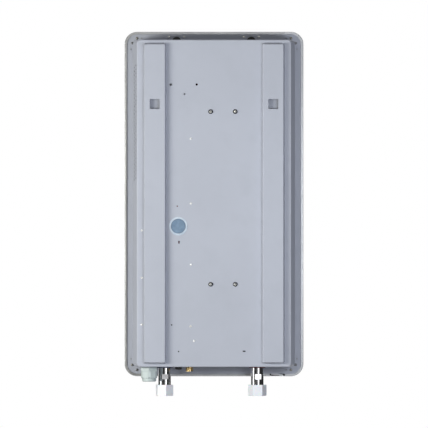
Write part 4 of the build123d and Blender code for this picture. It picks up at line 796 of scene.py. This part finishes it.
def make_world():
    """A white background that lights the object at a plain, lower level."""
    world = bpy.data.worlds.new("studio")
    world.use_nodes = True
    bpy.context.scene.world = world
    tree = world.node_tree
    light = tree.nodes["Background"]
    light.inputs["Strength"].default_value = AMBIENT
    light.inputs["Color"].default_value = (1.0, 1.0, 1.0, 1.0)
    white = tree.nodes.new("ShaderNodeBackground")
    white.inputs["Strength"].default_value = BACKGROUND
    white.inputs["Color"].default_value = (1.0, 1.0, 1.0, 1.0)
    mix = tree.nodes.new("ShaderNodeMixShader")
    tree.links.new(see_through_rays(tree), mix.inputs["Fac"])
    tree.links.new(light.outputs["Background"], mix.inputs[1])
    tree.links.new(white.outputs["Background"], mix.inputs[2])
    tree.links.new(mix.outputs["Shader"], tree.nodes["World Output"].inputs["Surface"])


def make_floor():
    """A round floor below the photograph's view: grey to lamps, pale to the eye and to shiny surfaces."""
    mesh = bmesh.new()
    bmesh.ops.create_circle(mesh, cap_ends=True, segments=FLOOR_STEPS, radius=FLOOR_RADIUS)
    data = as_data(mesh, "floor")
    floor = bpy.data.objects.new("floor", data)
    floor.location.z = -FLOOR_DROP
    finish = Finish("floor_paper", [FLOOR_GREY] * 3, 0.9)
    finish.tint(finish.between(finish.noise(3.0), 0.4, 0.7, 0.0, 0.4), [FLOOR_CLOUD_GREY] * 3)
    glow = finish.node("ShaderNodeMath", operation="MULTIPLY")
    finish.tree.links.new(see_through_rays(finish.tree), glow.inputs[0])
    glow.inputs[1].default_value = FLOOR_GLOW
    finish.set(Emission_Color=(1.0, 1.0, 1.0, 1.0))
    finish.tree.links.new(glow.outputs["Value"], finish.shader.inputs["Emission Strength"])
    data.materials.append(finish.material)
    bpy.context.scene.collection.objects.link(floor)


def make_dark_tent():
    """A curved dark wall round the sides and back of the set, which only shows in shiny surfaces."""
    mesh = bmesh.new()
    columns = []
    for i in range(TENT_STEPS + 1):
        turn = radians(TENT_START + (TENT_END - TENT_START) * i / TENT_STEPS)
        x = TENT_RADIUS * sin(turn)
        y = -TENT_RADIUS * cos(turn)
        columns.append([mesh.verts.new((x, y, z)) for z in (-TENT_HEIGHT / 2, TENT_HEIGHT / 2)])
    for left, right in zip(columns, columns[1:]):
        mesh.faces.new((left[0], right[0], right[1], left[1]))
    data = as_data(mesh, "dark_tent")
    tent = bpy.data.objects.new("dark_tent", data)
    tent.location.z = VIEW_MIDDLE_Z
    tent.visible_camera = False
    tent.visible_diffuse = False
    tent.visible_shadow = False
    tent.visible_transmission = False
    data.materials.append(materials["rubber"])
    bpy.context.scene.collection.objects.link(tent)


def make_camera():
    """A camera level with the middle of the picture, looking along -Y."""
    lens = bpy.data.cameras.new("camera")
    lens.sensor_width = SENSOR_WIDTH
    lens.lens = SENSOR_WIDTH * (VIEW_DISTANCE - VIEW_DEPTH) / VIEW_WIDTH
    lens.clip_end = VIEW_REACH
    camera = bpy.data.objects.new("camera", lens)
    camera.location = (0.0, VIEW_DISTANCE, VIEW_MIDDLE_Z)
    camera.rotation_euler = (radians(90.0), 0.0, radians(180.0))
    bpy.context.scene.collection.objects.link(camera)
    bpy.context.scene.camera = camera


for node_name, finish_name in node_finish.items():
    dress_node(node_name, finish_name)
make_cross_screws()
make_socket_bolts()
make_rivets()
make_nipple("return_nipple", "return_nipple_threaded", radians(RETURN_FLAT_TURN))
make_nipple("flow_nipple", "flow_nipple_threaded", radians(FLOW_FLAT_TURN))

make_camera()
make_world()
make_floor()
# Each light has an azimuth and elevation, then a width, height and power, and a colour where it isn't white
add_softbox("left_softbox", 136.0, 0.5, 1.00, 0.40, 23.5, (1.0, 1.0, 0.915))
add_softbox("right_softbox", 200.0, -1.0, 0.60, 0.40, 10.5, (0.88, 0.93, 1.0))
add_softbox("upper_softbox", 180.0, 20.0, 0.50, 0.40, 2.0)
add_softbox("low_left_strip", 104.0, -12.5, 0.85, 0.30, 1.6)
add_softbox("low_right_strip", 205.0, -12.5, 0.70, 0.30, 1.2)
add_softbox("low_middle_card", 176.5, -12.5, 0.14, 0.30, 0.08)
add_softbox("front_left_softbox", -17.0, 8.0, 0.4, 0.9, 12.0)
add_softbox("front_right_softbox", 18.0, 4.0, 0.4, 0.9, 8.0)
make_dark_tent()

bpy.context.scene.view_settings.view_transform = "Standard"
